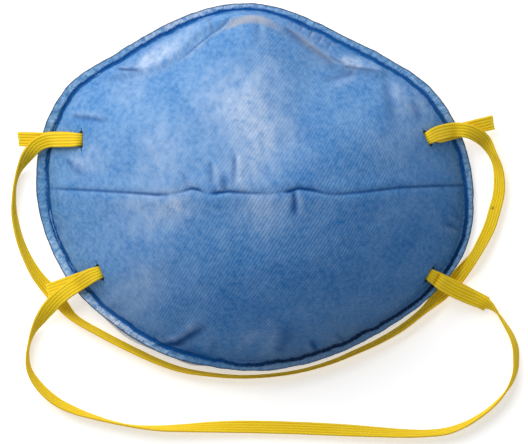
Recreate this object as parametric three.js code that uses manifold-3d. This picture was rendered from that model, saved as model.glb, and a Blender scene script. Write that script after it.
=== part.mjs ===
// A disposable cup respirator: a moulded inner shell, a nonwoven cover welded to it round the
// rim, a nose clip held between the two, and two flat elastic straps threaded through slits.
//
// Millimetres, +Z up. The cup lies rim down, front up, nose towards +Y. The origin is on the
// surface that it rests on, under the middle of the cup's outline.

import * as THREE from 'three';
import { mergeVertices } from 'three/addons/utils/BufferGeometryUtils.js';
import Module from 'manifold-3d';

const wasm = await Module();
wasm.setup();

// ---------------------------------------------------------------- driving dimensions

const CUP_HEIGHT = 48; // from the resting plane to the crown of the cover
const CROWN = new THREE.Vector3(-0.48, -2.3, 0); // plan position of the crown

const COVER_WALL = 1;
const SHELL_WALL = 1;
const LAYER_GAP = 0.3; // between cover and shell
const SANDWICH = COVER_WALL + LAYER_GAP + SHELL_WALL;

const FLANGE_WIDTH = 2.2; // flat rim outside the weld
const WELD_WIDTH = 1;
const WELD_DEPTH = 0.5;
const WELD_END = FLANGE_WIDTH + WELD_WIDTH; // inset at which the cup's wall begins

const REST_MIDDLE = -6.5; // the rim rests on both cheeks about this line across the cup
const REST_HALF = 8; // half the length of the level stretch
const RIM_RISE = 8; // how far nose and chin stand off the surface
const RIM_RUN = 20; // how far along the rim that rise takes

const NOSE_X = -1.6;
const NOSE_SWELL = 3; // height of the swelling over the nose
const NOSE_SPREAD = 13; // its half width
const NOSE_BLEND = [12, 45]; // it grows between these distances up the cup
const SHOULDER_RUN = 14; // how far the nose shoulder runs out towards the crown
const SHOULDER_CURVE = 1.6; // 1 is a straight wall from weld to shoulder, more is rounder
const SHOULDER_ROUND = 1.5; // from the shoulder's edge to the next ring
const VALLEY_DEPTH = 2.8; // of the hollows beside the nose

const CLIP_WIDTH = 5;
const CLIP_THICK = 0.8;
const CLIP_SPAN = [45, 139.5]; // bearings of its two ends
const CLIP_END = 0.6; // width of its rounded ends, as a share of its width
const CLIP_GAP = 0.5; // from its faces to the shell and the cover
const CLIP_BULGE = 1.5; // how far the cover stands proud over it
const TOE_GAP = 0.6; // from its lower edge to the weld

const CREASE_BEARINGS = [2.3, 178.7]; // the pressed crease runs across the front on these two rays
const CREASE_HALF = 0.9;
const CREASE_COLUMN = 0.9; // degrees from the crease's column to its neighbours
const CREASE_DEPTH = 0.45;
const CREST_HEIGHT = 1.2; // soft crest that carries the crease
const CREST_SPREAD = 9;

const BAND_WIDTH = 4.8;
const BAND_THICK = 0.7;
const BAND_BEVEL = 0.2;
const SLIT_LENGTH = 7.6;
const SLIT_HELD = 5.2; // length over which its band holds it open
const SLIT_OPEN = 3; // width there
const SLIT_TIP = 0.4; // width at its two ends
const FLOOR_GAP = 0.1; // under a band that lies on the surface
const TAIL_CLEARANCE = 0.8; // from the cover to the middle of a band's tail
const RUN_CLEARANCE = 1.7; // and of its free run, which lies over the tail
const TAIL_INSETS = [1.1, 4.2, 7.5]; // where a tail's height over the cover is kept
const TAIL_FROM_SLIT = 3; // the least that these lie further out than the slit
const PAST_RIM = 2; // how far past the rim a tail begins to hang

const BEARING_STEP = 4.5;
const DOME_START = 5; // from the shoulder's edge to the first ring of the dome
const DOME_SHARES = [0.14, 0.3, 0.47, 0.65, 0.83];
const FADE_IN = 4; // width over which the relief grows from the weld
const GATHER_FADE_IN = 2;
const MERGE_DISTANCE = 1e-5;

// ---------------------------------------------------------------- tables

// The rim about the crown. bearing: degrees from +X. radius: to the cover's edge. fullness: of
// the profile from crown to rim, where 2 is a parabola and more is flatter with a steeper side.
const RIM = [
  { bearing: 0, radius: 70.9, fullness: 2.6 },
  { bearing: 15, radius: 69.5, fullness: 2.6 },
  { bearing: 30, radius: 66.6, fullness: 2.5 },
  { bearing: 45, radius: 61.5, fullness: 2.3 },
  { bearing: 60, radius: 58.5, fullness: 2.15 },
  { bearing: 75, radius: 59.4, fullness: 2.1 },
  { bearing: 90, radius: 61.3, fullness: 2.1 },
  { bearing: 105, radius: 61.4, fullness: 2.1 },
  { bearing: 120, radius: 61.3, fullness: 2.15 },
  { bearing: 135, radius: 63.4, fullness: 2.3 },
  { bearing: 150, radius: 69.0, fullness: 2.5 },
  { bearing: 165, radius: 70.6, fullness: 2.6 },
  { bearing: 180, radius: 69.7, fullness: 2.6 },
  { bearing: 195, radius: 67.5, fullness: 2.6 },
  { bearing: 210, radius: 64.5, fullness: 2.65 },
  { bearing: 225, radius: 60.9, fullness: 2.7 },
  { bearing: 240, radius: 59.0, fullness: 2.75 },
  { bearing: 255, radius: 57.1, fullness: 2.8 },
  { bearing: 270, radius: 56.7, fullness: 2.8 },
  { bearing: 285, radius: 56.9, fullness: 2.8 },
  { bearing: 300, radius: 58.1, fullness: 2.75 },
  { bearing: 315, radius: 60.7, fullness: 2.7 },
  { bearing: 330, radius: 65.7, fullness: 2.65 },
  { bearing: 345, radius: 70.5, fullness: 2.6 },
];

// The shoulder that the nose clip gives the cup. inset: of its edge from the rim. rise: above
// the plain dome.
const SHOULDER = [
  { bearing: 36, inset: 6.6, rise: 0 },
  { bearing: 44, inset: 7.3, rise: 0.6 },
  { bearing: 52, inset: 9.6, rise: 1.0 },
  { bearing: 60, inset: 10.8, rise: 1.2 },
  { bearing: 68, inset: 9.8, rise: 2.2 },
  { bearing: 76, inset: 7.9, rise: 3.6 },
  { bearing: 84, inset: 6.1, rise: 4.8 },
  { bearing: 92, inset: 5.6, rise: 5.2 },
  { bearing: 100, inset: 6.0, rise: 4.8 },
  { bearing: 108, inset: 7.3, rise: 3.6 },
  { bearing: 116, inset: 10.0, rise: 2.2 },
  { bearing: 124, inset: 11.4, rise: 1.2 },
  { bearing: 132, inset: 10.3, rise: 1.0 },
  { bearing: 140, inset: 7.3, rise: 0.6 },
  { bearing: 148, inset: 6.6, rise: 0 },
];

// Hollows beside the nose, oval in plan.
const VALLEYS = [
  { x: -33, y: 40.5, spreadX: 13, spreadY: 9 },
  { x: 29.5, y: 40.5, spreadX: 12, spreadY: 9 },
];

// Folds where the cover gathers into the weld at the chin. half: half width in degrees. reach:
// how far they run in from the weld.
const GATHERS = [
  { bearing: 216, depth: 0.5, half: 5, reach: 9 },
  { bearing: 243, depth: 1.3, half: 6, reach: 13 },
  { bearing: 268, depth: 0.5, half: 5, reach: 8 },
  { bearing: 291, depth: 0.9, half: 5, reach: 10 },
  { bearing: 315, depth: 0.6, half: 5, reach: 9 },
];

// Where the shell's edge shows past the cover's. reach: how far it stands out.
const SHELL_PEEPS = [
  { bearing: 228, half: 8, reach: 1.4 },
  { bearing: 249.5, half: 5, reach: 1.0 },
];
const SHELL_TUCK = 0.3; // how far the shell's edge stays inside the cover's elsewhere

// Slits for the straps. heading: the way the slit faces. tail: the cut end of the band that lies
// over the rim, with its own heading, its length from the slit, and how far its end hangs below
// the rim's upper face.
const SLITS = {
  upperLeft: { x: -55.4, y: 15.1, heading: 180, tail: { heading: 179, length: 20.6, hang: 2.6 } },
  upperRight: { x: 55.1, y: 15.5, heading: 26, tail: { heading: 14, length: 22.2, hang: 2.8 } },
  lowerLeft: { x: -49.4, y: -27.2, heading: 201, tail: { heading: 200, length: 18.4, hang: 2.4 } },
  lowerRight: { x: 55.9, y: -28.0, heading: 329, tail: { heading: 332.7, length: 21.0, hang: 6.1 } },
};

// The free runs, from slit to slit. lift: above what the band rests on. lean: degrees of roll
// from flat, where -90 stands on its edge and less tips its top edge away from the loop.
const UPPER_RUN = [
  { x: -62.5, y: 15.1, lift: 0.7, lean: 0 },
  { x: -66.8, y: 14.9, lift: 1.5, lean: -12 },
  { x: -69.9, y: 13.6, lift: 6.3, lean: -15 },
  { x: -72.1, y: 11.3, lift: 4.9, lean: -32 },
  { x: -74.3, y: 8.0, lift: 1.8, lean: -56 },
  { x: -76.1, y: 4.7, lift: 0.4, lean: -77 },
  { x: -77.2, y: 0.8, lift: 0, lean: -84 },
  { x: -77.6, y: -4.4, lift: 0, lean: -79 },
  { x: -77.4, y: -9.1, lift: 0, lean: -72 },
  { x: -75.7, y: -16.7, lift: 0, lean: -65 },
  { x: -73.2, y: -22.9, lift: 0, lean: -57 },
  { x: -70.2, y: -28.2, lift: 0, lean: -44 },
  { x: -66.6, y: -32.6, lift: 0, lean: -29 },
  { x: -62.9, y: -36.8, lift: 0, lean: -31 },
  { x: -58.5, y: -41.8, lift: 0, lean: -60 },
  { x: -50.5, y: -46.6, lift: 0, lean: -65 },
  { x: -43.7, y: -50.2, lift: 0, lean: -65 },
  { x: -37.0, y: -53.5, lift: 0, lean: -67 },
  { x: -30.3, y: -56.5, lift: 0, lean: -71 },
  { x: -23.4, y: -58.8, lift: 0, lean: -74 },
  { x: -14.3, y: -60.3, lift: 0, lean: -80 },
  { x: -4.4, y: -61.0, lift: 0, lean: -83 },
  { x: 5.4, y: -60.5, lift: 0, lean: -83 },
  { x: 15.2, y: -59.0, lift: 0, lean: -83 },
  { x: 25.0, y: -56.1, lift: 0, lean: -80 },
  { x: 32.4, y: -53.0, lift: 0, lean: -76 },
  { x: 39.8, y: -49.6, lift: 0, lean: -72 },
  { x: 47.3, y: -45.2, lift: 0, lean: -68 },
  { x: 54.8, y: -39.2, lift: 0, lean: -62 },
  { x: 59.8, y: -34.5, lift: 0, lean: -24 },
  { x: 63.6, y: -30.8, lift: 0, lean: -7 },
  { x: 67.1, y: -26.7, lift: 0, lean: -26 },
  { x: 70.3, y: -22.6, lift: 0, lean: -48 },
  { x: 73.3, y: -17.4, lift: 0, lean: -44 },
  { x: 75.6, y: -12.5, lift: 0, lean: -38 },
  { x: 77.1, y: -7.5, lift: 0, lean: -38 },
  { x: 78.4, y: -2.4, lift: 0, lean: -40 },
  { x: 78.6, y: 2.2, lift: 0, lean: -45 },
  { x: 78.1, y: 6.5, lift: 0, lean: -55 },
  { x: 76.6, y: 10.3, lift: 0.4, lean: -60 },
  { x: 74.4, y: 14.0, lift: 1.6, lean: -38 },
  { x: 71.2, y: 16.8, lift: 5.9, lean: -20 },
  { x: 68.0, y: 18.1, lift: 7.7, lean: -14 },
  { x: 64.4, y: 18.4, lift: 0.5, lean: -12 },
  { x: 60.8, y: 17.8, lift: 0.2, lean: 0 },
];

const LOWER_RUN = [
  { x: -54.2, y: -29.5, lift: 0.7, lean: 0 },
  { x: -57.2, y: -31.4, lift: 0.8, lean: 8 },
  { x: -59.9, y: -33.1, lift: 7.5, lean: 10 },
  { x: -62.6, y: -35.2, lift: 7.2, lean: 4 },
  { x: -65.3, y: -37.8, lift: 5.1, lean: -10 },
  { x: -68.4, y: -41.7, lift: 2, lean: -38 },
  { x: -71.1, y: -46.1, lift: 0.5, lean: -70 },
  { x: -72.6, y: -50.2, lift: 0, lean: -86 },
  { x: -73.2, y: -54.3, lift: 0, lean: -84 },
  { x: -72.7, y: -58.5, lift: 0, lean: -75 },
  { x: -70.7, y: -62.3, lift: 0, lean: -64 },
  { x: -67.5, y: -66.0, lift: 0, lean: -58 },
  { x: -63.2, y: -69.4, lift: 0, lean: -57 },
  { x: -57.5, y: -72.1, lift: 0, lean: -65 },
  { x: -52.1, y: -73.9, lift: 0, lean: -77 },
  { x: -46.7, y: -75.4, lift: 0, lean: -85 },
  { x: -41.3, y: -76.6, lift: 0, lean: -88 },
  { x: -36.8, y: -77.2, lift: 0, lean: -83 },
  { x: -30.1, y: -77.6, lift: 0, lean: -72 },
  { x: -23.3, y: -77.5, lift: 0, lean: -62 },
  { x: -14.0, y: -77.2, lift: 0, lean: -47 },
  { x: -4.4, y: -77.1, lift: 0, lean: -35 },
  { x: 10.2, y: -77.4, lift: 0, lean: -34 },
  { x: 25.0, y: -78.0, lift: 0, lean: -36 },
  { x: 39.8, y: -78.8, lift: 0, lean: -50 },
  { x: 47.3, y: -79.2, lift: 0, lean: -58 },
  { x: 55.1, y: -79.2, lift: 0, lean: -65 },
  { x: 61.6, y: -78.5, lift: 0, lean: -66 },
  { x: 67.3, y: -76.5, lift: 0, lean: -73 },
  { x: 72.2, y: -73.7, lift: 0, lean: -80 },
  { x: 76.4, y: -70.5, lift: 0, lean: -84 },
  { x: 79.9, y: -66.8, lift: 0, lean: -90 },
  { x: 82.5, y: -62.8, lift: 0, lean: -101 },
  { x: 83.8, y: -58.8, lift: 0, lean: -108 },
  { x: 84.0, y: -55.2, lift: 0, lean: -112 },
  { x: 83.8, y: -51.6, lift: 0, lean: -112 },
  { x: 82.7, y: -48.1, lift: 0, lean: -108 },
  { x: 80.8, y: -44.7, lift: 0, lean: -103 },
  { x: 78.5, y: -41.2, lift: 0, lean: -93 },
  { x: 76.3, y: -38.9, lift: 0.7, lean: -72 },
  { x: 73.9, y: -37.4, lift: 2.3, lean: -36 },
  { x: 71.2, y: -36.2, lift: 3.4, lean: -10 },
  { x: 68.0, y: -34.9, lift: 4.9, lean: 0 },
  { x: 64.8, y: -33.5, lift: 6.4, lean: 5 },
  { x: 62.0, y: -32.0, lift: 7.7, lean: 8 },
  { x: 59.6, y: -30.5, lift: 1.8, lean: 4 },
];

// A band's way in over the lower lip of its slit, round inside the cup and out again over
// itself, in the plane of its thickness. down: along the cover's slope from the middle of the
// slit. out: from the cover's face.
const HAIRPIN = [
  { down: 2.75, out: 0.8 },
  { down: 1.45, out: 0.75 },
  { down: 0.97, out: 0.5 },
  { down: 0.8, out: 0 },
  { down: 0.8, out: -3.0 },
  { down: 1.55, out: -4.0 },
  { down: 1.25, out: -5.1 },
  { down: 0.35, out: -5.6 },
  { down: -0.55, out: -5.1 },
  { down: -0.85, out: -4.0 },
  { down: -0.1, out: -3.0 },
  { down: -0.1, out: 0 },
  { down: 0.05, out: 0.9 },
  { down: 0.6, out: 1.5 },
  { down: 1.45, out: 1.7 },
  { down: 2.75, out: 1.7 },
];

// ---------------------------------------------------------------- small mathematics

const radians = THREE.MathUtils.degToRad;
const { clamp, lerp, smoothstep } = THREE.MathUtils;
const hill = (t) => Math.exp(-t * t);
const UP = new THREE.Vector3(0, 0, 1);

// A level unit vector at a bearing.
function planVector(bearing) {
  return new THREE.Vector3(Math.cos(radians(bearing)), Math.sin(radians(bearing)), 0);
}

// Shortest way round from one bearing to another, in degrees.
function turn(from, to) {
  return ((((to - from) % 360) + 540) % 360) - 180;
}

// Value of a column at a bearing, on a Catmull-Rom curve through rows at an even spacing.
function along(table, column, bearing, closed) {
  const count = table.length;
  const spacing = table[1].bearing - table[0].bearing;
  const place = closed
    ? (((bearing - table[0].bearing) % 360) + 360) % 360 / spacing
    : clamp((bearing - table[0].bearing) / spacing, 0, count - 1);
  const row = Math.floor(place);
  const t = place - row;
  const at = (k) => table[closed ? (k + count) % count : clamp(k, 0, count - 1)][column];
  const [a, b, c, d] = [at(row - 1), at(row), at(row + 1), at(row + 2)];
  return b + 0.5 * t * (c - a + t * (2 * a - 5 * b + 4 * c - d + t * (3 * (b - c) + d - a)));
}

// ---------------------------------------------------------------- form of the cup

const rimRadius = (bearing) => along(RIM, 'radius', bearing, true);
const fullness = (bearing) => along(RIM, 'fullness', bearing, true);
const shoulderInset = (bearing) => along(SHOULDER, 'inset', bearing, false);
const shoulderRise = (bearing) => along(SHOULDER, 'rise', bearing, false);

// Height of the rim's underside: level on both cheeks, and rising towards nose and chin.
function rimLift(y) {
  const beyond = Math.max(0, Math.abs(y - REST_MIDDLE) - REST_HALF);
  return RIM_RISE * (1 - hill(beyond / RIM_RUN));
}

// Everything that stands up from or sinks into the plain dome, as a height.
function relief(bearing, inset, x, y) {
  const up = inset - WELD_END;
  if (up <= 0) {
    return 0;
  }
  const ridge = shoulderInset(bearing) - WELD_END;
  const climb = up < ridge
    ? 1 - (1 - up / ridge) ** SHOULDER_CURVE
    : hill((up - ridge) / SHOULDER_RUN);
  let height = shoulderRise(bearing) * climb;

  const fade = smoothstep(up, 0, FADE_IN);
  height += fade * NOSE_SWELL * hill((x - NOSE_X) / NOSE_SPREAD) * smoothstep(y, ...NOSE_BLEND);
  for (const valley of VALLEYS) {
    const reach = hill((x - valley.x) / valley.spreadX) * hill((y - valley.y) / valley.spreadY);
    height -= fade * VALLEY_DEPTH * reach;
  }
  for (const gather of GATHERS) {
    const across = turn(gather.bearing, bearing) / gather.half;
    const inward = hill(up / gather.reach) * smoothstep(up, 0, GATHER_FADE_IN);
    height -= gather.depth * hill(across) * inward;
  }

  height += fade * CREST_HEIGHT * hill((y - CROWN.y) / CREST_SPREAD);
  for (const crease of CREASE_BEARINGS) {
    const off = turn(crease, bearing);
    const across = Math.abs(Math.sin(radians(off))) * (rimRadius(bearing) - inset);
    if (Math.abs(off) < 90 && across < CREASE_HALF) {
      height -= fade * CREASE_DEPTH * (1 - across / CREASE_HALF);
    }
  }
  return height;
}

// A point of the cup: at a bearing, inset from the rim, and at a depth under the outer face. The
// depth is measured square to the plain dome, and straight down on the flange.
function cupPoint(bearing, inset, depth) {
  const ray = planVector(bearing);
  const rim = rimRadius(bearing);
  const reach = rim - inset;
  const point = ray.clone().multiplyScalar(reach).add(CROWN);
  const base = rimLift(CROWN.y + rim * ray.y) + SANDWICH;
  const share = clamp(reach / (rim - WELD_END), 0, 1);
  const power = fullness(bearing);
  const rise = CUP_HEIGHT - CREST_HEIGHT - base;
  point.z = base + rise * (1 - share ** power) + relief(bearing, inset, point.x, point.y);

  const steep = inset < WELD_END ? 0 : (power * rise * share ** (power - 1)) / (rim - WELD_END);
  const normal = ray.multiplyScalar(steep).setZ(1).normalize();
  return { point: point.addScaledVector(normal, -depth), normal };
}

// The bearing and inset of a plan position.
function toPolar(x, y) {
  const bearing = THREE.MathUtils.radToDeg(Math.atan2(y - CROWN.y, x - CROWN.x));
  return { bearing, inset: rimRadius(bearing) - Math.hypot(x - CROWN.x, y - CROWN.y) };
}

// How far the cover bulges over the nose clip.
function clipBulge(bearing, inset) {
  const [first, last] = CLIP_SPAN;
  const off = Math.max(first - bearing, bearing - last, 0) / BEARING_STEP;
  const ridge = shoulderInset(bearing);
  const climb = clamp((inset - WELD_END) / ((ridge - WELD_END) / 3), 0, 1);
  const fall = clamp(1 - (inset - ridge) / SHOULDER_ROUND, 0, 1);
  return CLIP_BULGE * clamp(1 - off, 0, 1) * Math.min(climb, fall);
}

// The weld's groove, a V between the flange and the cup's wall.
function weldDip(inset) {
  const half = WELD_WIDTH / 2;
  return WELD_DEPTH * Math.max(0, 1 - Math.abs(inset - FLANGE_WIDTH - half) / half);
}

// ---------------------------------------------------------------- walls of the cup

// Bearings of the columns: evenly spaced, with three close together at each end of the crease.
function columnBearings() {
  const bearings = [];
  for (let bearing = 0; bearing < 360; bearing += BEARING_STEP) {
    const near = CREASE_BEARINGS.some((crease) => Math.abs(turn(crease, bearing)) < 2 * CREASE_COLUMN);
    if (!near) {
      bearings.push(bearing);
    }
  }
  for (const crease of CREASE_BEARINGS) {
    bearings.push(crease - CREASE_COLUMN, crease, crease + CREASE_COLUMN);
  }
  return bearings.sort((a, b) => a - b);
}

// Insets of the rings on one column, from the edge in: flange, weld, wall up to the shoulder,
// and dome. The crown itself is a single point.
function ringInsets(bearing, edgeInset) {
  const ridge = shoulderInset(bearing);
  const wall = (share) => lerp(WELD_END, ridge, share);
  const domeStart = ridge + DOME_START;
  const dome = DOME_SHARES.map((share) => lerp(domeStart, rimRadius(bearing), share));
  const flange = [edgeInset, FLANGE_WIDTH, FLANGE_WIDTH + WELD_WIDTH / 2, WELD_END];
  return [...flange, wall(1 / 3), wall(2 / 3), ridge, ridge + SHOULDER_ROUND, domeStart, ...dome];
}

// A wall between two depths, closed at the rim. Each depth is a function of bearing and inset.
function cupWall(outerDepth, innerDepth, edgeInset) {
  const bearings = columnBearings();
  const positions = [];
  const faces = [];
  const grids = [outerDepth, innerDepth].map((depthAt) => {
    const addPoint = (bearing, inset) => {
      const { point } = cupPoint(bearing, inset, depthAt(bearing, inset));
      return positions.push(point) - 1;
    };
    const columns = bearings.map((bearing) => {
      return ringInsets(bearing, edgeInset(bearing)).map((inset) => addPoint(bearing, inset));
    });
    return { columns, crown: addPoint(0, rimRadius(0)) };
  });

  const quad = (a, b, c, d) => faces.push(a, b, c, a, c, d);
  const [outer, inner] = grids;
  bearings.forEach((_, i) => {
    const next = (i + 1) % bearings.length;
    const [a, b] = [outer.columns[i], outer.columns[next]];
    const [c, d] = [inner.columns[i], inner.columns[next]];
    for (let k = 0; k + 1 < a.length; k += 1) {
      quad(a[k], b[k], b[k + 1], a[k + 1]);
      quad(c[k], c[k + 1], d[k + 1], d[k]);
    }
    faces.push(a[a.length - 1], b[b.length - 1], outer.crown);
    faces.push(d[d.length - 1], c[c.length - 1], inner.crown);
    quad(a[0], c[0], d[0], b[0]);
  });
  return meshGeometry(positions, faces);
}

function meshGeometry(positions, faces) {
  const geometry = new THREE.BufferGeometry();
  const values = positions.flatMap((point) => point.toArray());
  geometry.setAttribute('position', new THREE.Float32BufferAttribute(values, 3));
  geometry.setIndex(faces);
  return geometry;
}

// ---------------------------------------------------------------- slits

// The frame of a slit: its middle on the cover's face, the face's normal, the slope's way down
// and the direction across, along the slit.
function slitFrame(slit) {
  const { bearing, inset } = toPolar(slit.x, slit.y);
  const { point, normal } = cupPoint(bearing, inset, 0);
  const across = UP.clone().cross(planVector(slit.heading));
  const down = across.clone().cross(normal).normalize();
  const out = down.clone().cross(across).normalize();
  return { point, out, down, across };
}

// A geometry as a manifold body for cutting, and back.
function solid(geometry) {
  const bare = geometry.clone();
  bare.deleteAttribute('normal');
  bare.deleteAttribute('uv');
  const merged = mergeVertices(bare, MERGE_DISTANCE);
  return new wasm.Manifold(new wasm.Mesh({
    numProp: 3,
    vertProperties: new Float32Array(merged.attributes.position.array),
    triVerts: new Uint32Array(merged.index.array),
  }));
}

function geometryOf(manifold) {
  const mesh = manifold.getMesh();
  const geometry = new THREE.BufferGeometry();
  geometry.setAttribute('position', new THREE.BufferAttribute(mesh.vertProperties, 3));
  geometry.setIndex(new THREE.BufferAttribute(mesh.triVerts, 1));
  return geometry;
}

// A prism the shape of a slit: wide where the band holds it open and narrow at both ends.
function slitPrism() {
  const [open, tip, held, end] = [SLIT_OPEN, SLIT_TIP, SLIT_HELD, SLIT_LENGTH].map((v) => v / 2);
  const outline = [
    [tip, -end], [open, -held], [open, held], [tip, end],
    [-tip, end], [-open, held], [-open, -held], [-tip, -end],
  ];
  const shape = new THREE.Shape(outline.map(([x, y]) => new THREE.Vector2(x, y)));
  const depth = 4 * SANDWICH;
  const prism = new THREE.ExtrudeGeometry(shape, { depth, bevelEnabled: false });
  return prism.translate(0, 0, -depth / 2);
}

// A wall with the strap slits cut through it, square to its face.
function withSlits(geometry) {
  let wall = solid(geometry);
  for (const slit of Object.values(SLITS)) {
    const { point, out, down, across } = slitFrame(slit);
    const cutter = slitPrism();
    cutter.applyMatrix4(new THREE.Matrix4().makeBasis(down, across, out));
    cutter.translate(...point.clone().addScaledVector(out, -SANDWICH / 2));
    wall = wall.subtract(solid(cutter));
  }
  return geometryOf(wall);
}

// ---------------------------------------------------------------- nose clip

// A strip that lies on the shell, one edge along the shoulder, with three points across each face.
function noseClip() {
  const bearings = columnBearings().filter((b) => b >= CLIP_SPAN[0] && b <= CLIP_SPAN[1]);
  const innerDepth = COVER_WALL + LAYER_GAP - CLIP_GAP;
  const outerDepth = innerDepth - CLIP_THICK;
  const sections = bearings.map((bearing, i) => {
    const isEnd = i === 0 || i === bearings.length - 1;
    const ridge = shoulderInset(bearing);
    const [near, far] = [ridge - 1, ridge - 2].map((inset) => cupPoint(bearing, inset, 0).point);
    const planWidth = Math.min(CLIP_WIDTH / near.distanceTo(far), ridge - WELD_END - TOE_GAP);
    const width = isEnd ? planWidth * CLIP_END : planWidth;
    const start = ridge - (planWidth - width) / 2;
    const insets = [0, 0.5, 1].map((share) => start - share * width);
    const outer = insets.map((inset) => cupPoint(bearing, inset, outerDepth).point);
    const inner = insets.map((inset) => cupPoint(bearing, inset, innerDepth).point);
    return [...outer, ...inner.reverse()];
  });
  return loft(sections);
}

// A closed body through sections of equally many points, with a flat cap at both ends.
function loft(sections) {
  const count = sections[0].length;
  const faces = [];
  sections.slice(1).forEach((_, s) => {
    for (let k = 0; k < count; k += 1) {
      const [a, b] = [s * count + k, s * count + ((k + 1) % count)];
      faces.push(a, b, b + count, a, b + count, a + count);
    }
  });
  const last = (sections.length - 1) * count;
  for (let k = 1; k + 1 < count; k += 1) {
    faces.push(0, k + 1, k, last, last + k, last + k + 1);
  }
  const geometry = meshGeometry(sections.flat(), faces);
  if (solid(geometry).volume() < 0) {
    geometry.setIndex([...geometry.index.array].reverse());
  }
  return geometry;
}

// ---------------------------------------------------------------- straps

// One end of a band, from its cut end over the rim, up the cover, in through the slit and out
// again. The band's width stays along the slit all the way.
function bandEnd(slit) {
  const { point, out, down, across } = slitFrame(slit);
  const { tail } = slit;
  const way = planVector(tail.heading);
  const { inset } = toPolar(slit.x, slit.y);
  const onWay = (distance) => new THREE.Vector3(slit.x, slit.y, 0).addScaledVector(way, distance);
  const onCover = (distance) => {
    const middle = onWay(distance);
    const cup = coverUnder(middle);
    const [left, right] = [-1, 1].map((side) => {
      return coverUnder(middle.clone().addScaledVector(across, side * BAND_WIDTH / 2)).point;
    });
    const width = right.sub(left).normalize();
    return { place: cup.point.addScaledVector(cup.normal, TAIL_CLEARANCE), width };
  };
  const rim = onCover(inset);
  const pastRim = (distance, hang) => {
    return { place: onWay(distance).setZ(rim.place.z - hang), width: rim.width };
  };
  const insets = TAIL_INSETS.filter((value) => value < inset - TAIL_FROM_SLIT);
  const hairpin = HAIRPIN.map((row) => {
    return point.clone().addScaledVector(down, row.down).addScaledVector(out, row.out);
  });
  return [
    pastRim(tail.length, tail.hang),
    pastRim(inset + PAST_RIM, 0),
    ...insets.map((value) => onCover(inset - value)),
    ...hairpin.map((place) => ({ place, width: across })),
  ];
}

// The cover's face and its normal at a plan position, or at the rim nearest to it.
function coverUnder({ x, y }) {
  const { bearing, inset } = toPolar(x, y);
  return cupPoint(bearing, Math.max(inset, 0), 0);
}

// Height of the middle of a band that rests on the surface, or that runs over the cover.
function restHeight(row) {
  const lean = radians(row.lean);
  const height = BAND_WIDTH * Math.abs(Math.sin(lean)) + BAND_THICK * Math.abs(Math.cos(lean));
  const { bearing, inset } = toPolar(row.x, row.y);
  const { point, normal } = cupPoint(bearing, inset, 0);
  const overCover = inset > 0 ? point.z + RUN_CLEARANCE / normal.z : 0;
  return Math.max(FLOOR_GAP + height / 2, overCover);
}

// A whole band: one end, the free run, and the other end.
function band(startSlit, run, endSlit) {
  const free = run.map((row) => {
    const place = new THREE.Vector3(row.x, row.y, restHeight(row) + row.lift);
    return { place, lean: row.lean };
  });
  const end = bandEnd(endSlit).reverse().map(({ place, width }) => {
    return { place, width: width.clone().negate() };
  });
  const stations = [...bandEnd(startSlit), ...free, ...end];
  const half = { x: BAND_WIDTH / 2, y: BAND_THICK / 2 };
  const outline = [
    [half.x, half.y - BAND_BEVEL], [half.x - BAND_BEVEL, half.y],
    [BAND_BEVEL - half.x, half.y], [-half.x, half.y - BAND_BEVEL],
    [-half.x, BAND_BEVEL - half.y], [BAND_BEVEL - half.x, -half.y],
    [half.x - BAND_BEVEL, -half.y], [half.x, BAND_BEVEL - half.y],
  ];
  const sections = stations.map(({ place, width, lean }, i) => {
    const before = stations[Math.max(i - 1, 0)].place;
    const after = stations[Math.min(i + 1, stations.length - 1)].place;
    const towards = after.clone().sub(place).normalize();
    const tangent = place.clone().sub(before).normalize().add(towards).normalize();
    const wide = width ? width.clone() : leaningWidth(tangent, lean);
    wide.addScaledVector(tangent, -wide.dot(tangent)).normalize();
    const thick = tangent.clone().cross(wide);
    return outline.map(([u, v]) => place.clone().addScaledVector(wide, u).addScaledVector(thick, v));
  });
  return loft(sections);
}

// The band's width direction where it rolls by a lean about its own line.
function leaningWidth(tangent, lean) {
  const left = UP.clone().cross(tangent).normalize();
  return left.multiplyScalar(Math.cos(radians(lean))).addScaledVector(UP, Math.sin(radians(lean)));
}

// ---------------------------------------------------------------- assembly

function material(color, roughness, metalness = 0) {
  return new THREE.MeshStandardMaterial({ color, roughness, metalness });
}

const FINISHES = {
  cover: material(0x5f93d6, 0.9),
  shell: material(0xf2f0ec, 0.95),
  clip: material(0xc4c6c9, 0.4, 1),
  strap: material(0xf0c81e, 0.75),
};

// The depth of the cover's two faces, which lift over the clip, and of the shell's.
const coverOuter = (bearing, inset) => weldDip(inset) - clipBulge(bearing, inset);
const coverInner = (bearing, inset) => COVER_WALL - clipBulge(bearing, inset);
const shellOuter = () => COVER_WALL + LAYER_GAP;
const shellInner = () => SANDWICH;

function shellEdge(bearing) {
  const peep = (row) => row.reach * hill(turn(row.bearing, bearing) / row.half);
  return SHELL_TUCK - SHELL_PEEPS.reduce((sum, row) => sum + peep(row), 0);
}

const respirator = new THREE.Group();
respirator.name = 'disposable_respirator';

function addPart(name, geometry, finish) {
  const part = new THREE.Mesh(geometry, finish);
  part.name = name;
  respirator.add(part);
}

addPart('outer_cover', withSlits(cupWall(coverOuter, coverInner, () => 0)), FINISHES.cover);
addPart('inner_shell', withSlits(cupWall(shellOuter, shellInner, shellEdge)), FINISHES.shell);
addPart('nose_clip', noseClip(), FINISHES.clip);
addPart('upper_strap', band(SLITS.upperLeft, UPPER_RUN, SLITS.upperRight), FINISHES.strap);
addPart('lower_strap', band(SLITS.lowerLeft, LOWER_RUN, SLITS.lowerRight), FINISHES.strap);

export default respirator;
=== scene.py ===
"""The looks of a disposable cup respirator, made as an add-on that is run as a script.

The cup lies rim down: front +Z, nose +Y. Lengths are in metres, but for the tables' columns marked
mm, and bearings in degrees from +X about the crown of the cup. An inset is the level distance from
the rim towards the crown. Every surface is worked out with numpy from a few tables.
"""

import math

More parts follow.
